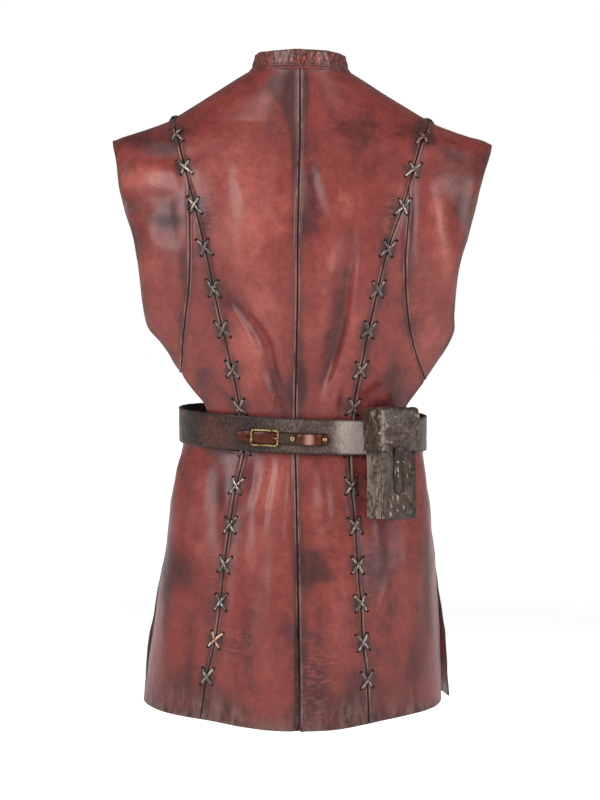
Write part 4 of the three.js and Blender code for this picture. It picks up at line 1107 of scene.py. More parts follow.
class VEST_OT_collar(bpy.types.Operator):
    """Builds the stand collar, crinkled across and rolled at its seam"""

    bl_idname = "vest.collar"
    bl_label = "Collar"

    def execute(self, context):
        leather = sizes().leather
        grid = frame_lattice("collar", (-1, 0, 0), (0, 0, -1))
        knots = distances_along(grid[:, 0])
        rows = along_rows(grid, knots, spaced(knots[-1], 1.6 * MM))
        shares = np.broadcast_to(np.linspace(0, 1, 19), (len(rows), 19))
        points = across_rows(rows, shares)
        normal = outward_normals(points, (0, 0, 0))
        height = np.linalg.norm(np.diff(points, axis=1), axis=2).sum(1)[:, None] * shares
        tree = skin_tree()
        reach = np.array([tree.find_nearest(Vector(foot))[0] - Vector(foot) for foot in points[:, 0]])
        points = points + (reach + 0.5 * MM * unit(reach))[:, None] * ease(6 * MM, 0, height)[..., None]
        top = height[:, -1:] - height
        crinkle = np.array([1.0, 1.0, 0.28])
        fine = wander(points * crinkle, 210, 2.0, 4) * ease(0.002, 0.008, height)
        soft = wander(points * np.array([1.0, 1.0, 0.5]), 60, 5.0, 2)
        welt = 1.7 * bell(height - 1.6 * MM, 1.5 * MM)
        gutter = -0.7 * bell(height - 4.6 * MM, 1.4 * MM)
        lift = (fine * 0.75 + soft * 0.9 + welt + gutter) * MM
        thin = 0.4 * leather * rounding(np.minimum(top, 1 * MM) / MM)
        wavy = wander(points, 40, 9.0, 2) * ease(0.4, 1.0, shares) * 0.9 * MM
        surface = points + normal * lift[..., None] + np.array([0, 0, 1]) * wavy[..., None]
        outer = surface - normal * thin[..., None]
        inner = surface - normal * (leather - thin)[..., None]
        far = np.full(points.shape[:2], FAR)
        # Painted shade along the gutter above the welt and in the crinkle troughs, darker towards the
        # collar's right end, and painted highlights on the crinkle crests and the rolled welt.
        stain = 0.5 * bell(height - 5 * MM, 3 * MM) + 0.5 * ease(0.03, 0.062, points[..., 0])
        values = {
            "seam": far,
            "edge": np.minimum(top + 0.6 * MM, far),
            "lace": far,
            "stain": stain + 0.3 * ease(0.2, -0.8, fine),
            "worn": 0.5 * fine + 0.35 * bell(height - 1.6 * MM, 1.8 * MM) - 0.5,
            "crackle": ease(3 * MM, 7 * MM, height),
        }
        collar = wall_piece("collar", outer, inner, **values)
        as_piece(collar, "vest_leather", "collar")
        declare_sheet(collar, surface)
        return {"FINISHED"}


# ------------------------------------------------------------------ the lacing


def skin_tree():
    """A search tree over all the cut pieces of the vest."""
    points, faces = [], []
    for piece in bpy.context.scene.objects:
        if piece.get("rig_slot") == "vest_leather" and piece.name != "collar":
            first = len(points)
            points.extend(v.co.copy() for v in piece.data.vertices)
            faces.extend([first + i for i in face.vertices] for face in piece.data.polygons)
    return BVHTree.FromPolygons(points, faces)


def cross_ends(name, normal, along):
    """The four ends of a CAD cross: lower left, upper left, lower right and upper right."""
    points = frame_points(name)
    middle = points.mean(0)
    across = np.cross(along, normal)
    x, y = (points - middle) @ across, (points - middle) @ along
    ends = {}
    for side in (-1, 1):
        for up in (-1, 1):
            reach = side * x / max(np.ptp(x), 1e-6) + up * y / max(np.ptp(y), 1e-6)
            tip = points[reach > reach.max() - 0.16]
            ends[side, up] = tip.mean(0)
    return middle, ends


THONG_RINGS = 15
THONG_SIDES = 12
THONG_SUNK = -1.3 * MM  # how deep a thong's ends go into the leather


def thong_rings(start, end, tree, rise):
    """Rings of a flat thong that comes out of the leather, arches over it and goes back in."""
    place = np.linspace(0, 1, THONG_RINGS)
    found = [tree.find_nearest(Vector(start * (1 - t) + end * t)) for t in place]
    base, normals = (np.array([hit[k] for hit in found]) for k in (0, 1))
    normals = unit(normals)
    normals = unit(normals + normals.mean(0) * 1.5)
    arch = np.sin(np.pi * place) ** 0.45
    height = THONG_SUNK + (rise - THONG_SUNK) * arch
    path = base + normals * height[:, None]
    along = unit(np.gradient(path, axis=0))
    across = unit(np.cross(normals, along))
    out = np.cross(along, across)
    angle = np.linspace(0, 2 * np.pi, THONG_SIDES, endpoint=False)
    wide = np.cos(angle) * sizes().thong_width / 2
    thick = np.sin(angle) * sizes().thong_thickness / 2
    narrow = (0.72 + 0.28 * np.sin(np.pi * place) ** 0.5)[:, None, None]
    flat = across[:, None] * wide[None, :, None] + out[:, None] * thick[None, :, None]
    return path[:, None] + flat * narrow


def hole_points(centre, tree, radius, around=14):
    """A dished ring round the place where a thong goes in, which takes the hole's dark painted shade."""
    found, normal, _, _ = tree.find_nearest(Vector(centre))
    side = normal.orthogonal().normalized()
    up = normal.cross(side)
    rings = []
    for share, lift in ((1.0, 0.05), (0.8, 0.32), (0.45, 0.3)):
        for k in range(around):
            angle = 2 * math.pi * k / around
            spoke = side * math.cos(angle) + up * math.sin(angle)
            rim, rim_normal, _, _ = tree.find_nearest(found + spoke * radius * share)
            rings.append(rim + rim_normal * lift * MM)
    rings.append(found + normal * 0.12 * MM)
    faces = []
    for ring in range(2):
        for k in range(around):
            a, b = ring * around + k, ring * around + (k + 1) % around
            faces.append((a, b, b + around, a + around))
    last = 2 * around
    faces += [(last + k, last + (k + 1) % around, 3 * around) for k in range(around)]
    return np.array(rings), faces


# How each cross differs, from the shoulder down: its tone and the strength of its painted highlight, and how
# far its arms are turned.
CROSS_LOOKS = {
    "left": table(
        "shade twist upper",
        [
            (0.1, 2, 1), (0.8, -5, 1), (0.9, 4, -1), (0.7, -3, 1), (0.15, 6, 1), (0.35, -4, -1),
            (0.3, 3, 1), (0.5, -6, 1), (0.35, 2, -1), (0.45, 5, 1), (0.8, -3, -1), (0.6, 4, 1),
            (0.6, -5, -1), (0.8, 3, 1), (1.0, -4, 1), (0.65, 5, -1),
        ],
    ),
    "right": table(
        "shade twist upper",
        [
            (0.1, -3, -1), (0.4, 5, 1), (0.8, -4, 1), (0.7, 3, -1), (0.2, -2, 1), (0.3, 5, -1),
            (0.2, -4, 1), (0.6, 2, 1), (0.35, -5, 1), (0.35, 4, -1), (0.65, -3, 1), (0.5, 6, 1),
            (0.65, -4, 1), (0.75, 3, -1), (0.7, 5, 1), (0.55, -3, 1),
        ],
    ),
}
TAN_CROSS = "lace_left_15"


class VEST_OT_lacing(bpy.types.Operator):
    """Builds the crossed thongs and the holes that they go through"""

    bl_idname = "vest.lacing"
    bl_label = "Crossed thongs"

    def execute(self, context):
        tree = skin_tree()
        for side in SIDES:
            names = crosses(f"lace_{side}_")
            centres = [box_middle(name) for name in names]
            for number, name in enumerate(names):
                before, after = centres[max(number - 1, 0)], centres[min(number + 1, len(names) - 1)]
                normal = np.array(tree.find_nearest(Vector(centres[number]))[1])
                if number == 0:
                    normal = np.array([0.0, 0.0, 1.0])
                along = before - after
                along = unit(along - normal * np.dot(along, normal))
                self.cross(name, tree, normal, along, CROSS_LOOKS[side][number])
        return {"FINISHED"}

    def cross(self, name, tree, normal, along, looks):
        """Two arms, one over the other, with a dark disc at each of their four ends as the painted shade of a
        hole.
        """
        middle, ends = cross_ends(name, normal, along)
        turn = Matrix.Rotation(math.radians(looks["twist"]), 3, Vector(normal))
        ends = {key: middle + np.array(turn @ Vector(end - middle)) for key, end in ends.items()}
        rings = []
        for arm, upper in ((1, looks["upper"] > 0), (-1, looks["upper"] < 0)):
            rise = sizes().thong_thickness * (1.3 if upper else 0.45)
            rings.append(thong_rings(ends[-1, -arm], ends[1, arm], tree, rise))
        around = np.linspace(0, 2 * np.pi, THONG_SIDES, endpoint=False)
        side = np.tile(np.abs(np.cos(around)), THONG_RINGS)
        piece = loft_piece(name, rings[0], side=side)
        other = loft_piece(name + "_arm", rings[1], side=side)
        parts = [piece, other]
        as_piece(piece, "thong_leather", name)
        piece.data.materials.append(finish("hole"))
        for k, end in enumerate(ends.values()):
            points, faces = hole_points(end, tree, 2.3 * MM)
            mesh = bpy.data.meshes.new("hole")
            mesh.from_pydata(points.tolist(), [], faces)
            mesh.polygons.foreach_set("material_index", [1] * len(faces))
            mesh.polygons.foreach_set("use_smooth", [True] * len(faces))
            hole = bpy.data.objects.new(f"{name}_hole_{k}", mesh)
            bpy.context.scene.collection.objects.link(hole)
            mesh.materials.append(finish("thong_leather"))
            mesh.materials.append(finish("hole"))
            parts.append(hole)
        other.data.materials.append(finish("thong_leather"))
        join(parts)
        shade = 1.0 if name == TAN_CROSS else looks["shade"] * 0.85
        point_values(piece, "shade", [shade] * len(piece.data.vertices))


def join(parts):
    """Joins meshes into the first of them."""
    deselect_all()
    for part in parts:
        part.select_set(True)
    bpy.context.view_layer.objects.active = parts[0]
    bpy.ops.object.join()
    return parts[0]


# ------------------------------------------------------------------ the belt


class BeltPath:
    """The belt's face, read from its CAD ring: its four long edges at its stations."""

    def __init__(self):
        points = frame_points("belt")
        low, high = points.min(0), points.max(0)
        middle = (low + high) / 2
        angle = np.arctan2(points[:, 0] - middle[0], middle[1] - points[:, 1])
        order = np.argsort(np.mod(angle + np.pi + 0.02, 2 * np.pi))
        stations = points[order].reshape(-1, 4, 3)
        edges = []
        for four in stations:
            away = np.hypot(four[:, 0] - middle[0], four[:, 1] - middle[1])
            by_away = np.argsort(away)
            inside, outside = four[by_away[:2]], four[by_away[2:]]
            pair = [sorted(two.tolist(), key=lambda p: p[2]) for two in (outside, inside)]
            edges.append([pair[0][0], pair[0][1], pair[1][1], pair[1][0]])
        self.edges = np.array(edges)
        self.thickness = np.linalg.norm(self.edges[0, 0] - self.edges[0, 3])
        back = self.edges[self.edges[:, 0, 1] < middle[1]]
        self.back = back[np.argsort(back[:, 0, 0])]

    def fine(self, stations):
        """The four edges at evenly spaced stations all round."""
        wrapped = np.concatenate([self.edges[-2:], self.edges, self.edges[:3]])
        knots = distances_along(wrapped[:, 0])
        at = np.linspace(knots[2], knots[-3], stations, endpoint=False)
        return along_rows(wrapped, knots, at)

    def edge_at(self, edge, x):
        """The point at x of the lower (0) or upper (1) edge, behind the wearer."""
        line = self.back[:, edge]
        return np.array([np.interp(x, line[:, 0], line[:, axis]) for axis in range(3)])

    def place(self, x, up, out):
        """A point by the back of the belt: x across, up from its middle line, out from its face."""
        middle = (self.edge_at(0, x) + self.edge_at(1, x)) / 2
        _, outward, rise = self.axes(x)
        return middle + outward * out + rise * up

    def axes(self, x):
        """The belt's directions at x: along it, out of its face and up."""
        along = unit(self.edge_at(0, x + 2 * MM) - self.edge_at(0, x - 2 * MM))
        outward = unit(np.cross(along, [0, 0, 1]))
        return along, outward, np.cross(outward, along)

    def frame(self, x, up, out):
        """The matrix that takes a piece from the origin to a place on the belt."""
        return frame_at(self.place(x, up, out), *self.axes(x))

    def rises(self, points):
        """How far above the belt's middle line points lie."""
        return [p[2] - self.place(p[0], 0, 0)[2] for p in points]


class VEST_OT_belt(bpy.types.Operator):
    """Builds the belt, a thick strap with soft, rubbed edges"""

    bl_idname = "vest.belt"
    bl_label = "Belt"

    def execute(self, context):
        edges = BeltPath().fine(420)
        low, high, high_in, low_in = (edges[:, k] for k in range(4))
        width = np.linalg.norm(high - low, axis=1).mean()
        thickness = np.linalg.norm(low - low_in, axis=1).mean()
        soft = 1.1 * MM
        corner = [0, 0.12, 0.4, 1.0]
        up = [c * soft for c in corner] + list(np.linspace(3 * MM, width - 3 * MM, 13))
        up += [width - c * soft for c in corner[::-1]]
        sunk = [soft * (1 - math.sqrt(1 - (1 - c) ** 2)) for c in corner]
        into = sunk + [0] * 13 + sunk[::-1]
        outline = list(zip(up, into)) + [(width - 0.4 * soft, thickness), (0.4 * soft, thickness)]
        rings = []
        for up_at, in_at in outline:
            a, b = up_at / width, in_at / thickness
            rings.append((low * (1 - a) + high * a) * (1 - b) + (low_in * (1 - a) + high_in * a) * b)
        rings = np.stack(rings, 1)
        outward = unit(low - low_in)[:, None]
        rise = unit(high - low)[:, None]
        tall = np.array([a for a, _ in outline])[None]
        rim = np.minimum(tall, width - tall) * np.ones((len(rings), 1))
        bumps = wander(rings, 45, 4.0, 3) * 0.5 * MM + wander(rings, 14, 1.0, 2) * 0.5 * MM
        ragged = wander(rings, 70, 8.0, 3) * 0.5 * MM * np.where(tall > width / 2, 1, -1)
        rings = rings + outward * bumps[..., None] + rise * (ragged * (rim < 2 * MM))[..., None]
        belt = loft_piece("belt", rings, joined=True, rim=rim)
        as_piece(belt, "belt_leather", "belt")
        length = np.linalg.norm(np.diff(low, axis=0), axis=1).sum() + np.linalg.norm(low[0] - low[-1])
        return {"FINISHED"}


# ------------------------------------------------------------------ buckle and strap


STRAP_STEP = 1.2 * MM
PLAIN_RIM = 0.01  # a distance from the rim past which nothing darkens


def strap_outs(belt, name, x, up):
    """How far the inner and outer faces of a CAD strap stand off the belt at x."""
    mesh = merged_frame_mesh(name)
    tree = BVHTree.FromBMesh(mesh)
    mesh.free()
    _, outward, _ = belt.axes(x)
    start = belt.place(x, up, -1 * MM)
    hit, _, _, near = tree.ray_cast(Vector(start), Vector(outward))
    if hit is None:
        return None
    _, _, _, more = tree.ray_cast(hit + Vector(outward) * 0.05 * MM, Vector(outward))
    return near - 1 * MM, near - 1 * MM + (more or 1.5 * MM)


def strap_line(belt, name):
    """How far above the belt's middle line a CAD strap lies."""
    return float(np.mean(belt.rises(frame_points(name))))


def strap_piece(name, belt, ends=(0.0, 0.0), soots=(), highlights=(), crown=0.25 * MM):
    """A narrow strap along the belt, on its CAD solid.

    ends are the radii of its two ends and crown is how much it swells in the middle. The last two arguments
    hold stretches: the first blackened, the second given a painted highlight.
    """
    low_x, high_x = (corner.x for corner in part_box(name))
    middle = strap_line(belt, name)
    half = np.ptp(belt.rises(frame_points(name))) / 2
    inset = 0.25 * MM
    xs = np.linspace(low_x + inset, high_x - inset, int((high_x - low_x) / STRAP_STEP))
    inside = np.clip(xs, low_x + MM, high_x - MM)
    outs = np.array([strap_outs(belt, name, x, middle + 0.45 * half) for x in inside])
    smoothed = [np.convolve(np.pad(outs[:, k], 2, mode="edge"), np.ones(5) / 5, "valid") for k in (0, 1)]
    rings, rims = [], []
    soft = 0.45 * MM
    for i, x in enumerate(xs):
        wide = half
        for radius, away in ((ends[0], x - low_x), (ends[1], high_x - x)):
            if radius and away < radius:
                wide = min(wide, half * math.sqrt(max(1 - (1 - away / radius) ** 2, 0.02)))
        near, far = smoothed[0][i], smoothed[1][i]
        outline = [
            (-wide + soft, near), (wide - soft, near), (wide, near + soft), (wide, far - soft),
            (wide - soft, far), (wide * 0.5, far + crown * 0.7), (0, far + crown),
            (-wide * 0.5, far + crown * 0.7), (-wide + soft, far), (-wide, far - soft), (-wide, near + soft),
        ]
        rings.append([belt.place(x, middle + up, out) for up, out in outline])
        end_gap = min(x - low_x, high_x - x)
        rims.append([min(wide - abs(up), end_gap if any(ends) else 1) for up, _ in outline])
    rings = np.array(rings)
    # pale marks the stretches that get a painted highlight.
    soot, pale = (between_x(rings, reaches) for reaches in (soots, highlights))
    piece = loft_piece(name, rings, rim=np.array(rims), soot=soot, pale=pale)
    as_piece(piece, "strap_leather", name)


def between_x(points, reaches):
    """1 where points lie between a pair of places along x, in millimetres, fading at each end."""
    x = points[..., 0] / MM
    total = np.zeros(x.shape)
    for start, end, fade in reaches:
        total = np.maximum(total, ease(start - fade, start + fade, x) * ease(end + fade, end - fade, x))
    return total


def deselect_all():
    if bpy.context.object and bpy.context.object.mode != "OBJECT":
        bpy.ops.object.mode_set(mode="OBJECT")
    bpy.ops.object.select_all(action="DESELECT")


def select_whole():
    bpy.ops.mesh.select_all(action="SELECT")


def start_from(kind, name, **settings):
    """Adds a primitive as the start of a piece and enters edit mode with nothing selected."""
    deselect_all()
    getattr(bpy.ops.mesh, f"primitive_{kind}_add")(**settings)
    piece = bpy.context.object
    piece.name = name
    piece.data.name = name
    bpy.ops.object.transform_apply(location=True, rotation=True, scale=True)
    bpy.ops.object.mode_set(mode="EDIT")
    bpy.ops.mesh.select_all(action="DESELECT")
    return piece


def pick(piece, kind, test):
    """Selects the vertices, edges or faces of a piece in edit mode that pass a test."""
    modes = {"verts": "VERT", "edges": "EDGE", "faces": "FACE"}
    bpy.ops.mesh.select_mode(type=modes[kind])
    bpy.ops.mesh.select_all(action="DESELECT")
    mesh = bmesh.from_edit_mesh(piece.data)
    for part in getattr(mesh, kind):
        part.select_set(bool(test(part)))
    mesh.select_flush_mode()
    bmesh.update_edit_mesh(piece.data)


def smooth_to(angle):
    """Shades the selected piece smooth, apart from edges sharper than an angle in degrees."""
    bpy.ops.object.shade_smooth_by_angle(angle=math.radians(angle))


def face_outwards():
    select_whole()
    bpy.ops.mesh.normals_make_consistent(inside=False)


def extrude(x, y, z):
    bpy.ops.mesh.extrude_region_move(TRANSFORM_OT_translate={"value": (x, y, z)})


def bevel_edges(offset, segments):
    bpy.ops.mesh.bevel(offset=offset, segments=segments, affect="EDGES")


def end_edit(piece, place, angle=50):
    """Leaves edit mode, smooths a piece and moves its mesh to its place in the frame."""
    bpy.ops.object.mode_set(mode="OBJECT")
    piece.data.transform(place @ piece.matrix_world)
    piece.matrix_world = Matrix.Identity(4)
    smooth_to(angle)


def frame_at(origin, along, outward, up):
    """The matrix that takes x along, y inwards and z up to a place in the frame."""
    columns = [Vector(along), -Vector(outward), Vector(up)]
    turn = Matrix([list(row) for row in zip(*columns)]).to_4x4()
    return Matrix.Translation(Vector(origin)) @ turn


class VEST_OT_strap(bpy.types.Operator):
    """Builds the buckle's strap, its base and its keeper"""

    bl_idname = "vest.strap"
    bl_label = "Strap and keeper"

    def execute(self, context):
        belt = BeltPath()
        strap_piece("buckle_base", belt, soots=[(-40, 0, 3)])
        strap_piece("buckle_strap", belt, ends=(12 * MM, 7 * MM), soots=[(-29, -3, 1.5)])
        # The keeper's middle gets a painted highlight.
        strap_piece("strap_keeper", belt, crown=0.9 * MM, highlights=[(7, 16, 4.5)])
        self.holes(belt)
        return {"FINISHED"}

    def holes(self, belt):
        """Punched holes beside the prong, each a short cup let into the strap's face and coloured dark as
        painted shade.
        """
        middle = strap_line(belt, "buckle_strap")
        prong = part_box("buckle_prong")[0].x + 8 * MM
        for number, away in enumerate((31.5 * MM, 14 * MM)):
            x = prong - away
            _, face = strap_outs(belt, "buckle_strap", x - 2.4 * MM, middle)
            hole = start_disc(f"strap_hole_{number + 1}", 20, 2.3 * MM)
            bpy.ops.mesh.inset(thickness=0.35 * MM, depth=0.12 * MM)
            bpy.ops.mesh.inset(thickness=0.3 * MM, depth=-0.2 * MM)
            end_edit(hole, belt.frame(x, middle, face + 0.5 * MM), 60)
            hole.data.materials.append(finish("hole"))
            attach(hole, "root")
            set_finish(hole, "strap_leather")


BUCKLE_WIRE = 2.5 * MM


def hardware_place(belt, name):
    """Where a CAD fitting sits: its x, length, height, rise and how far its points stand out."""
    low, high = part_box(name)
    x = (low.x + high.x) / 2
    middle = strap_line(belt, name)
    _, outward, _ = belt.axes(x)
    outs = [(p - belt.place(x, middle, 0)) @ outward for p in frame_points(name)]
    return x, high.x - low.x, high.z - low.z, middle, outs


class VEST_OT_buckle(bpy.types.Operator):
    """Builds the brass buckle: a rounded frame with a middle bar, and its prong"""

    bl_idname = "vest.buckle"
    bl_label = "Buckle"

    def execute(self, context):
        belt = BeltPath()
        x, length, height, middle, outs = hardware_place(belt, "buckle_frame")
        height -= 1 * MM
        stand = max(outs)
        ring = start_from("plane", "buckle_frame", size=1, rotation=FACING_BACK)
        select_whole()
        bpy.ops.transform.resize(value=(length - 0.4 * MM, 1, height))
        pick(ring, "verts", lambda v: True)
        bpy.ops.mesh.bevel(offset=4.2 * MM, segments=6, affect="VERTICES")
        pick(ring, "faces", lambda f: True)
        bpy.ops.mesh.inset(thickness=BUCKLE_WIRE)
        bpy.ops.mesh.delete(type="FACE")
        pick(ring, "faces", lambda f: True)
        extrude(0, 2.2 * MM, 0)
        pick(ring, "edges", lambda e: len(e.link_faces) == 2 and e.calc_face_angle() > 1)
        bevel_edges(0.85 * MM, 4)
        face_outwards()
        end_edit(ring, belt.frame(x, middle, stand))
        bar = start_from("cylinder", "buckle_bar", vertices=16, radius=0.9 * MM, depth=height - 1.4 * MM)
        pick(bar, "edges", lambda e: abs(e.verts[0].co.z - e.verts[1].co.z) < 1e-6)
        bevel_edges(0.3 * MM, 2)
        end_edit(bar, belt.frame(x, middle, 2.2 * MM))
        pegs = []
        for side in (-1, 1):
            settings = {"vertices": 16, "radius": 1.0 * MM, "depth": stand - 2.4 * MM}
            peg = start_from("cylinder", "buckle_peg", rotation=FACING_BACK, **settings)
            up = middle + side * (height / 2 - 1.3 * MM)
            end_edit(peg, belt.frame(x, up, (stand + 1.2 * MM) / 2))
            pegs.append(peg)
        as_piece(join([ring, bar, *pegs]), "brass", "buckle_frame")
        self.prong(belt, middle)
        return {"FINISHED"}

    def prong(self, belt, middle):
        """A round wire from the middle bar, out over the frame's end bar."""
        points = frame_points("buckle_prong")
        stations = points[np.argsort(points[:, 0])].reshape(-1, 8, 3).mean(1)
        along, outward, rise = belt.axes(stations[:, 0].mean())
        origin = belt.place(stations[0, 0], middle, 0)
        reach, outs = (stations - origin) @ along, (stations - origin) @ outward
        steps = 16
        stride = (reach[-1] - reach[0]) / steps
        settings = {"vertices": 12, "radius": 1.0 * MM, "depth": 0.2 * MM}
        level = {"rotation": (0, math.radians(90), 0), "location": (0, -outs[0], 0)}
        prong = start_from("cylinder", "buckle_prong", **settings, **level)
        for k in range(steps):
            here, there = np.interp([k * stride, (k + 1) * stride], reach - reach[0], outs)
            pick(prong, "faces", lambda f: f.calc_center_median().x > k * stride and f.normal.x > 0.5)
            extrude(stride, here - there, 0)
            if k > steps - 4:
                bpy.ops.transform.resize(value=(1, 0.84, 0.84))
        face_outwards()
        end_edit(prong, frame_at(origin, along, outward, rise), 60)
        as_piece(prong, "brass", "buckle_prong")


def start_disc(name, vertices, radius):
    """Starts a piece as a disc that faces the wearer's back, with its face selected."""
    disc = start_from(
        "circle", name, vertices=vertices, radius=radius, fill_type="NGON", rotation=FACING_BACK
    )
    pick(disc, "faces", lambda f: True)
    return disc


def domed_stud(name, radius, height):
    """A round head with a rolled edge and a low dome, along -y, from a disc."""
    head = start_disc(name, 28, radius)
    extrude(0, -0.45 * height, 0)
    for inwards, rise in ((0.12, 0.25), (0.3, 0.2), (0.32, 0.1)):
        bpy.ops.mesh.inset(thickness=inwards * radius, depth=rise * height)
    face_outwards()
    return head


class VEST_OT_rivets(bpy.types.Operator):
    """Builds the two rivets that hold the strap and its keeper"""

    bl_idname = "vest.rivets"
    bl_label = "Rivets"

    def execute(self, context):
        belt = BeltPath()
        for name in ("rivet_inner", "rivet_outer"):
            x, _, height, middle, outs = hardware_place(belt, name)
            head = domed_stud(name, height / 2 - 0.1 * MM, max(outs) - min(outs) + 0.4 * MM)
            end_edit(head, belt.frame(x, middle, min(outs)))
            as_piece(head, "brass", name)
        return {"FINISHED"}


# ------------------------------------------------------------------ the pouch


class PouchFrame:
    """The pouch's own directions, read from the flat faces of its CAD lid."""

    def __init__(self):
        mesh = merged_frame_mesh("pouch_lid")
        self.outward = self.flat_normal(mesh, lambda n: n.y < -0.6)
        self.up = self.flat_normal(mesh, lambda n: n.z > 0.8)
        mesh.free()
        self.across = np.cross(self.up, self.outward)
        low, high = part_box("pouch_lid")
        self.origin = np.array((low + high) / 2)
        self.place = frame_at(self.origin, self.across, self.outward, self.up)

    @staticmethod
    def flat_normal(mesh, test):
        """The normal shared by the most area among the faces that pass a test."""
        areas = {}
        for face in mesh.faces:
            if test(face.normal):
                key = tuple(round(c, 3) for c in face.normal)
                areas[key] = areas.get(key, 0) + face.calc_area()
        return unit(np.array(max(areas, key=areas.get)))

    def box(self, name):
        """The lowest and highest corner of a CAD node in the pouch's own directions."""
        points = self.points(name)
        return points.min(0), points.max(0)

    def points(self, name):
        """The points of a CAD node in the pouch's own directions."""
        inverse = np.array(self.place.inverted())
        return frame_points(name) @ inverse[:3, :3].T + inverse[:3, 3]


def coordinates(piece):
    return np.array([v.co for v in piece.data.vertices])


def move_points(piece, points):
    piece.data.vertices.foreach_set("co", points.ravel())
    piece.data.update()


def lumps(points, scale, height, start=(0, 0, 0)):
    """Small soft shifts of each point."""
    return np.array([noise.noise_vector(Vector(p) * scale + Vector(start)) for p in points]) * height


def crumple(piece, seed, height):
    """Raises sharp crossing wrinkles on a piece and keeps their crests as an attribute."""
    points = coordinates(piece)
    normals = np.array([v.normal for v in piece.data.vertices])
    crests = []
    for scale, share, stretch in ((58, 0.09, 0.7), (84, 0.1, 0.6), (120, 0.12, 0.8)):
        field = wander(points * np.array([1.0, 1.0, stretch]), scale, seed + scale, 2)
        broken = ease(-0.1, 0.2, wander(points, scale * 0.9, seed * 3 + scale, 1))
        crests.append(np.clip(1 - np.abs(field) / share, 0, 1) * broken)
    patch = ease(-0.15, 0.25, wander(points, 24, seed + 5.0, 2))
    crest = np.maximum.reduce([crests[0], crests[1] * patch, crests[2] * (1 - patch * 0.6) * 0.8])
    # The pouch's finish paints highlights along these crests.
    point_values(piece, "crest", crest)
    move_points(piece, points + normals * (crest[:, None] * height))


def frame_copy(name):
    """A new active piece that is a merged copy of a CAD node."""
    mesh = merged_frame_mesh(name)
    data = bpy.data.meshes.new(name)
    mesh.to_mesh(data)
    mesh.free()
    piece = bpy.data.objects.new(name, data)
    bpy.context.scene.collection.objects.link(piece)
    deselect_all()
    piece.select_set(True)
    bpy.context.view_layer.objects.active = piece
    return piece


def modifier(piece, kind, **settings):
    made = piece.modifiers.new(kind.lower(), kind)
    for key, value in settings.items():
        setattr(made, key, value)
    bpy.context.view_layer.objects.active = piece
    bpy.ops.object.modifier_apply(modifier=made.name)


def point_values(piece, name, values):
    layer = piece.data.attributes.new(name, "FLOAT", "POINT")
    layer.data.foreach_set("value", np.asarray(values, dtype=np.float32))


def leather_box(name, size, middle, is_open, rounded, sag, seed, crest):
    """A thin box in the pouch's own directions, with open faces and crumpled, sagging walls.

    rounded holds a test for edges, a width and a number of segments for each bevel. sag turns
    the shares of the way from the middle to each wall, and the points, into shifts.
    """
    box = start_from("cube", name, size=1)
    select_whole()
    bpy.ops.transform.resize(value=tuple(size))
    bpy.ops.transform.translate(value=tuple(middle))
    pick(box, "faces", is_open)
    bpy.ops.mesh.delete(type="FACE")
    for is_sharp, width, segments in rounded:
        pick(box, "edges", is_sharp)
        bevel_edges(width, segments)
    select_whole()
    for cuts in (3, 3, 1):
        bpy.ops.mesh.subdivide(number_cuts=cuts)
    end_edit(box, Matrix.Identity(4), 60)
    points = coordinates(box)
    move_points(box, points + sag(points))
    crumple(box, seed, crest)
    modifier(box, "SOLIDIFY", thickness=2 * MM, offset=-1.0)
    return box


def wall_shares(points, size, middle):
    """-1 to 1 along each of a box's directions."""
    return (points - middle).T / (size / 2)[:, None]


def finish_box(box, pouch, flat):
    smooth_to(60)
    name = box.name.split(".")[0]
    box.data.transform(pouch.place)
    as_piece(box, "pouch_leather", name)


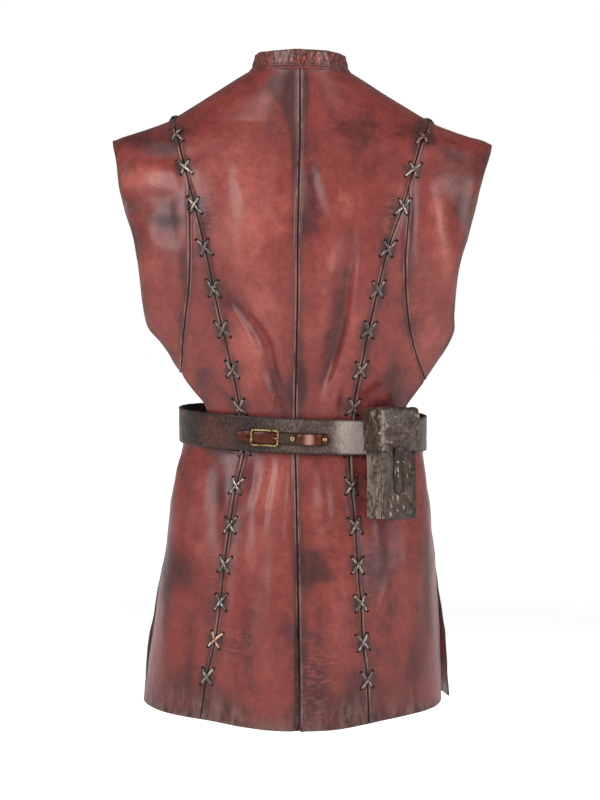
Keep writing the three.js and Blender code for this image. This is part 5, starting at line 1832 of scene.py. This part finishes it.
class VEST_OT_pouch_body(bpy.types.Operator):
    """Builds the pouch's body: a front and gussets that sag a little, with raised corner welts"""

    bl_idname = "vest.pouch_body"
    bl_label = "Pouch body"

    def execute(self, context):
        pouch = PouchFrame()
        low, high = pouch.box("pouch_body")
        size, middle = high - low, (high + low) / 2

        def is_front_corner(edge):
            a, b = (v.co for v in edge.verts)
            return abs(a.z - b.z) > 10 * MM and a.y < middle[1]

        def is_foot(edge):
            return all(v.co.z < low[2] + 2 * MM for v in edge.verts) and len(edge.link_faces) == 2

        def sag(points):
            x, y, z = wall_shares(points, size, middle)
            shift = np.zeros_like(points)
            shift[:, 1] -= ease(0.6, 1.0, -y) * (1 - x**2) * (1 - z**2) * 1.4 * MM
            shift[:, 0] -= x * (1 - y**2) * (1 - z**2) * 2.6 * MM
            shift[:, 2] += ease(-0.8, -1.0, z) * (1 - x**2) * -1.0 * MM
            return shift + lumps(points, 55, 0.9 * MM)

        rounded = [(is_front_corner, 3 * MM, 3), (is_foot, 2.4 * MM, 2)]
        body = leather_box(
            "pouch_body", size - 1.2 * MM, middle, lambda f: f.normal.z > 0.9, rounded, sag, 2.0, 0.7 * MM
        )
        x, _, z = coordinates(body).T
        skirted = pouch.box("pouch_lid")[0][2]
        point_values(body, "rim", np.full(len(x), PLAIN_RIM))
        # pale makes the left gusset paler; deep paints the lid's shadow on the body just under the lid's
        # edge.
        point_values(body, "pale", ease(low[0] + 6 * MM, low[0] + 1 * MM, x) * 0.9)
        point_values(body, "deep", ease(skirted - 9 * MM, skirted - 1 * MM, z) * 0.75)
        width, depth, height = size
        area = 2 * width * height + 2 * depth * height + width * depth
        finish_box(body, pouch, (2 * (width + depth), height + depth))
        self.welts(pouch, low, high)
        return {"FINISHED"}

    def welts(self, pouch, low, high):
        """The edges of the front and gusset stand up together along each front corner."""
        count = 46
        corners = [(-1.3, 0.6), (-0.9, -1.7), (-0.25, -2.1), (0, -1.3), (0.3, -2.1), (1.0, -1.6), (1.3, 0.6)]
        outline = np.array(corners) * MM
        rows = [("left", low[0] + 0.7 * MM, 0.9 * MM, -38), ("right", high[0] - 1.7 * MM, 1.6 * MM, 38)]
        for row in table("side x inside turn", rows):
            z = np.linspace(high[2] - 30 * MM, low[2] + 1 * MM, count)
            path = np.stack([np.full(count, row["x"]), np.full(count, low[1] + row["inside"]), z], -1)
            path = path + lumps(path, 90, 0.5 * MM)
            turned = math.radians(row["turn"])
            spin = np.array([[math.cos(turned), -math.sin(turned)], [math.sin(turned), math.cos(turned)]])
            ring = outline @ spin.T
            rings = path[:, None] + np.stack([ring[:, 0], ring[:, 1], 0 * ring[:, 0]], -1)[None]
            rim = np.where(np.abs(outline[:, 0]) < 0.1 * MM, 0.0, PLAIN_RIM)
            # pale paints highlights on the left welt's two raised edges.
            pale = np.where(np.abs(outline[:, 0]) > 0.6 * MM, 1.3, 0.0) * (row["side"] == "left")
            values = {"rim": np.tile(rim, (count, 1)), "pale": np.tile(pale, (count, 1))}
            welt = loft_piece(f"pouch_welt_{row['side']}", rings, **values)
            welt.data.transform(pouch.place)
            as_piece(welt, "pouch_leather")


class VEST_OT_pouch_lid(bpy.types.Operator):
    """Builds the pouch's boxed lid"""

    bl_idname = "vest.pouch_lid"
    bl_label = "Pouch lid"

    def execute(self, context):
        pouch = PouchFrame()
        low, high = pouch.box("pouch_lid")
        size, middle = high - low, (high + low) / 2

        def is_open(face):
            return face.normal.z < -0.9 or face.normal.y > 0.9

        def sag(points):
            x, y, z = wall_shares(points, size, middle)
            shift = np.zeros_like(points)
            top = ease(0.6, 1.0, z)
            shift[:, 2] += top * (1 - x**2) * (1 - 0.5 * y**2) * 2.2 * MM - top * 1.2 * MM
            shift[:, 1] -= ease(0.6, 1.0, -y) * (1 - x**2) * (1 - z**2) * 1.2 * MM
            shift[:, 0] -= x * ease(0.3, -1.0, z) * 1.6 * MM
            return shift + lumps(points, 60, 1.1 * MM, (5, 0, 0))

        rounded = [(lambda e: len(e.link_faces) == 2, 4.5 * MM, 3)]
        lid = leather_box("pouch_lid", size - 1.0 * MM, middle, is_open, rounded, sag, 4.0, 1.2 * MM)
        x, y, z = coordinates(lid).T
        corner = bell(x - low[0] - 4.5 * MM, 2.2 * MM) * ease(middle[1], low[1], y)
        point_values(lid, "rim", z - z.min())
        # pale paints a highlight down the lid's left front corner.
        point_values(lid, "pale", 1.1 * corner)
        width, depth, height = size
        area = width * (height + depth) + 2 * depth * height
        finish_box(lid, pouch, (width + 2 * depth, height + depth))
        return {"FINISHED"}


class VEST_OT_pouch_fastening(bpy.types.Operator):
    """Builds the pouch's belt loop, its tongue, the studs and the thong looped on them"""

    bl_idname = "vest.pouch_fastening"
    bl_label = "Pouch fastening"

    def execute(self, context):
        pouch = PouchFrame()
        self.loop()
        self.tongue(pouch)
        self.studs(pouch)
        self.cord()
        return {"FINISHED"}

    def loop(self):
        """The loop keeps its CAD form, with its corners softened."""
        loop = frame_copy("pouch_loop")
        modifier(loop, "BEVEL", width=0.5 * MM, segments=2, limit_method="ANGLE")
        smooth_to(50)
        point_values(loop, "rim", [PLAIN_RIM] * len(loop.data.vertices))
        as_piece(loop, "pouch_leather", "pouch_loop")

    def tongue(self, pouch):
        """A strap with a rounded end, on the heights and thicknesses of its CAD solid."""
        local = pouch.points("pouch_tongue")
        low, high = local.min(0), local.max(0)
        half, middle = (high[0] - low[0]) / 2, (high[0] + low[0]) / 2
        rows = []
        for z in sorted({round(z, 5) for z in local[:, 2]}, reverse=True):
            at = local[np.abs(local[:, 2] - z) < 0.02 * MM]
            rows.append((z, at[:, 1].max(), at[:, 1].min()))
        rows = np.array(rows)
        heights = np.linspace(high[2] - 0.2 * MM, low[2] + 0.3 * MM, 50)
        rings, rims = [], []
        for z in heights:
            near, far = (np.interp(-z, -rows[:, 0], rows[:, k]) for k in (1, 2))
            from_end = z - low[2]
            wide = half * (math.sqrt(max(1 - (1 - from_end / half) ** 2, 0.03)) if from_end < half else 1)
            curl = 0.35 * MM * math.sin(z * 130) + 0.6 * MM * (from_end < 12 * MM)
            soft, halfway = 0.4 * MM, (near + far) / 2
            outline = [
                (-wide + soft, near), (wide - soft, near), (wide, halfway), (wide - soft, far),
                (wide * 0.4, far - 0.3 * MM), (0, far - 0.1 * MM), (-wide * 0.4, far - 0.3 * MM),
                (-wide + soft, far), (-wide, halfway),
            ]
            rings.append([(middle + x, y - curl * 0.4, z) for x, y in outline])
            rims.append([min(wide - abs(x), from_end) for x, _ in outline])
        rims = np.array(rims)
        tongue = loft_piece("pouch_tongue", np.array(rings), rim=rims, deep=np.full(rims.shape, 0.85))
        tongue.data.transform(pouch.place)
        as_piece(tongue, "pouch_leather", "pouch_tongue")

    def studs(self, pouch):
        for name in ("pouch_stud_left", "pouch_stud_right"):
            low, high = pouch.box(name)
            head = domed_stud(name, (high[0] - low[0]) / 2, high[1] - low[1])
            middle = (low + high) / 2
            end_edit(head, pouch.place @ Matrix.Translation((middle[0], high[1], middle[2])))
            as_piece(head, "brass", name)

    def cord(self):
        """The looped thong keeps its CAD route, shaded smooth."""
        cord = frame_copy("pouch_cord")
        smooth_to(60)
        # The cord has no side attribute, so the thong finish paints its highlight all over it; 0.8 makes that
        # highlight bright.
        point_values(cord, "shade", [0.8] * len(cord.data.vertices))
        as_piece(cord, "thong_leather", "pouch_cord")


# ------------------------------------------------------------------ the stage


LIGHTS = table(
    "name x y z wide tall power shine",
    [
        ("key", -2.0, -2.3, 0.9, 1.5, 2.2, 84, True),
        ("fill", 2.3, -1.9, 0.6, 1.4, 2.2, 58, True),
        ("top", 0.0, -1.0, 2.2, 1.6, 1.6, 16, False),
        ("front", 0.4, 2.8, 0.9, 1.8, 1.8, 60, False),
    ],
)
LIT_POINT = Vector((0, 0, -0.4))
CAMERA_LENS = 88
CAMERA_PLACE = (0, -2.6, -0.2)
CAMERA_TILT = 5.115  # degrees below the horizon

class VEST_OT_stage(bpy.types.Operator):
    """Sets the pale floor, the soft lights and the camera behind the wearer"""

    bl_idname = "vest.stage"
    bl_label = "Stage"

    def execute(self, context):
        scene = context.scene
        floor = start_from("circle", "floor", vertices=96, radius=14, fill_type="NGON", location=(0, 0, -1.5))
        select_whole()
        bpy.ops.mesh.inset(thickness=2)
        end_edit(floor, Matrix.Identity(4))
        floor.data.materials.append(finish("floor"))
        world = bpy.data.worlds.new("studio")
        scene.world = world
        world.use_nodes = True
        nodes, links = world.node_tree.nodes, world.node_tree.links
        seen = nodes.new("ShaderNodeLightPath").outputs["Is Camera Ray"]
        strength = nodes.new("ShaderNodeMapRange")
        strength.inputs["To Min"].default_value = 0.2
        strength.inputs["To Max"].default_value = 1.0
        links.new(seen, strength.inputs["Value"])
        links.new(strength.outputs[0], nodes["Background"].inputs["Strength"])
        nodes["Background"].inputs["Color"].default_value = (1, 1, 1, 1)
        for row in LIGHTS:
            lamp = bpy.data.lights.new(row["name"], "AREA")
            lamp.shape = "RECTANGLE"
            lamp.size = row["wide"]
            lamp.size_y = row["tall"]
            lamp.energy = row["power"]
            light = bpy.data.objects.new(row["name"], lamp)
            light.location = (row["x"], row["y"], row["z"])
            aim = LIT_POINT - light.location
            light.rotation_euler = aim.to_track_quat("-Z", "Y").to_euler()
            light.visible_glossy = row["shine"]
            scene.collection.objects.link(light)
        camera = bpy.data.objects.new("camera", bpy.data.cameras.new("camera"))
        camera.data.lens = CAMERA_LENS
        camera.location = CAMERA_PLACE
        camera.rotation_euler = (math.radians(90 - CAMERA_TILT), 0, 0)
        scene.collection.objects.link(camera)
        scene.camera = camera
        scene.view_settings.view_transform = "Standard"
        return {"FINISHED"}


# ------------------------------------------------------------------ the add-on


OPERATORS = (
    VEST_OT_stage,
    VEST_OT_back,
    VEST_OT_caps,
    VEST_OT_fronts,
    VEST_OT_collar,
    VEST_OT_lacing,
    VEST_OT_belt,
    VEST_OT_strap,
    VEST_OT_buckle,
    VEST_OT_rivets,
    VEST_OT_pouch_body,
    VEST_OT_pouch_lid,
    VEST_OT_pouch_fastening,
)


class VEST_PT_panel(bpy.types.Panel):
    """Lists the vest's sizes, colours and steps"""

    bl_label = "Laced leather vest"
    bl_idname = "VEST_PT_panel"
    bl_space_type = "VIEW_3D"
    bl_region_type = "UI"
    bl_category = "Vest"

    def draw(self, context):
        for group in (context.scene.vest_sizes, context.scene.vest_colours):
            for key in group.__annotations__:
                self.layout.prop(group, key)
        for operator in OPERATORS:
            self.layout.operator(operator.bl_idname)


CLASSES = (VestSizes, VestColours, *OPERATORS, VEST_PT_panel)


def register():
    for cls in CLASSES:
        bpy.utils.register_class(cls)
    bpy.types.Scene.vest_sizes = PointerProperty(type=VestSizes)
    bpy.types.Scene.vest_colours = PointerProperty(type=VestColours)


def unregister():
    del bpy.types.Scene.vest_colours
    del bpy.types.Scene.vest_sizes
    for cls in reversed(CLASSES):
        bpy.utils.unregister_class(cls)


def main():
    noise.seed_set(NOISE_SEED)
    register()
    for operator in OPERATORS:
        group, name = operator.bl_idname.split(".")
        getattr(getattr(bpy.ops, group), name)()


if __name__ == "__main__":
    main()
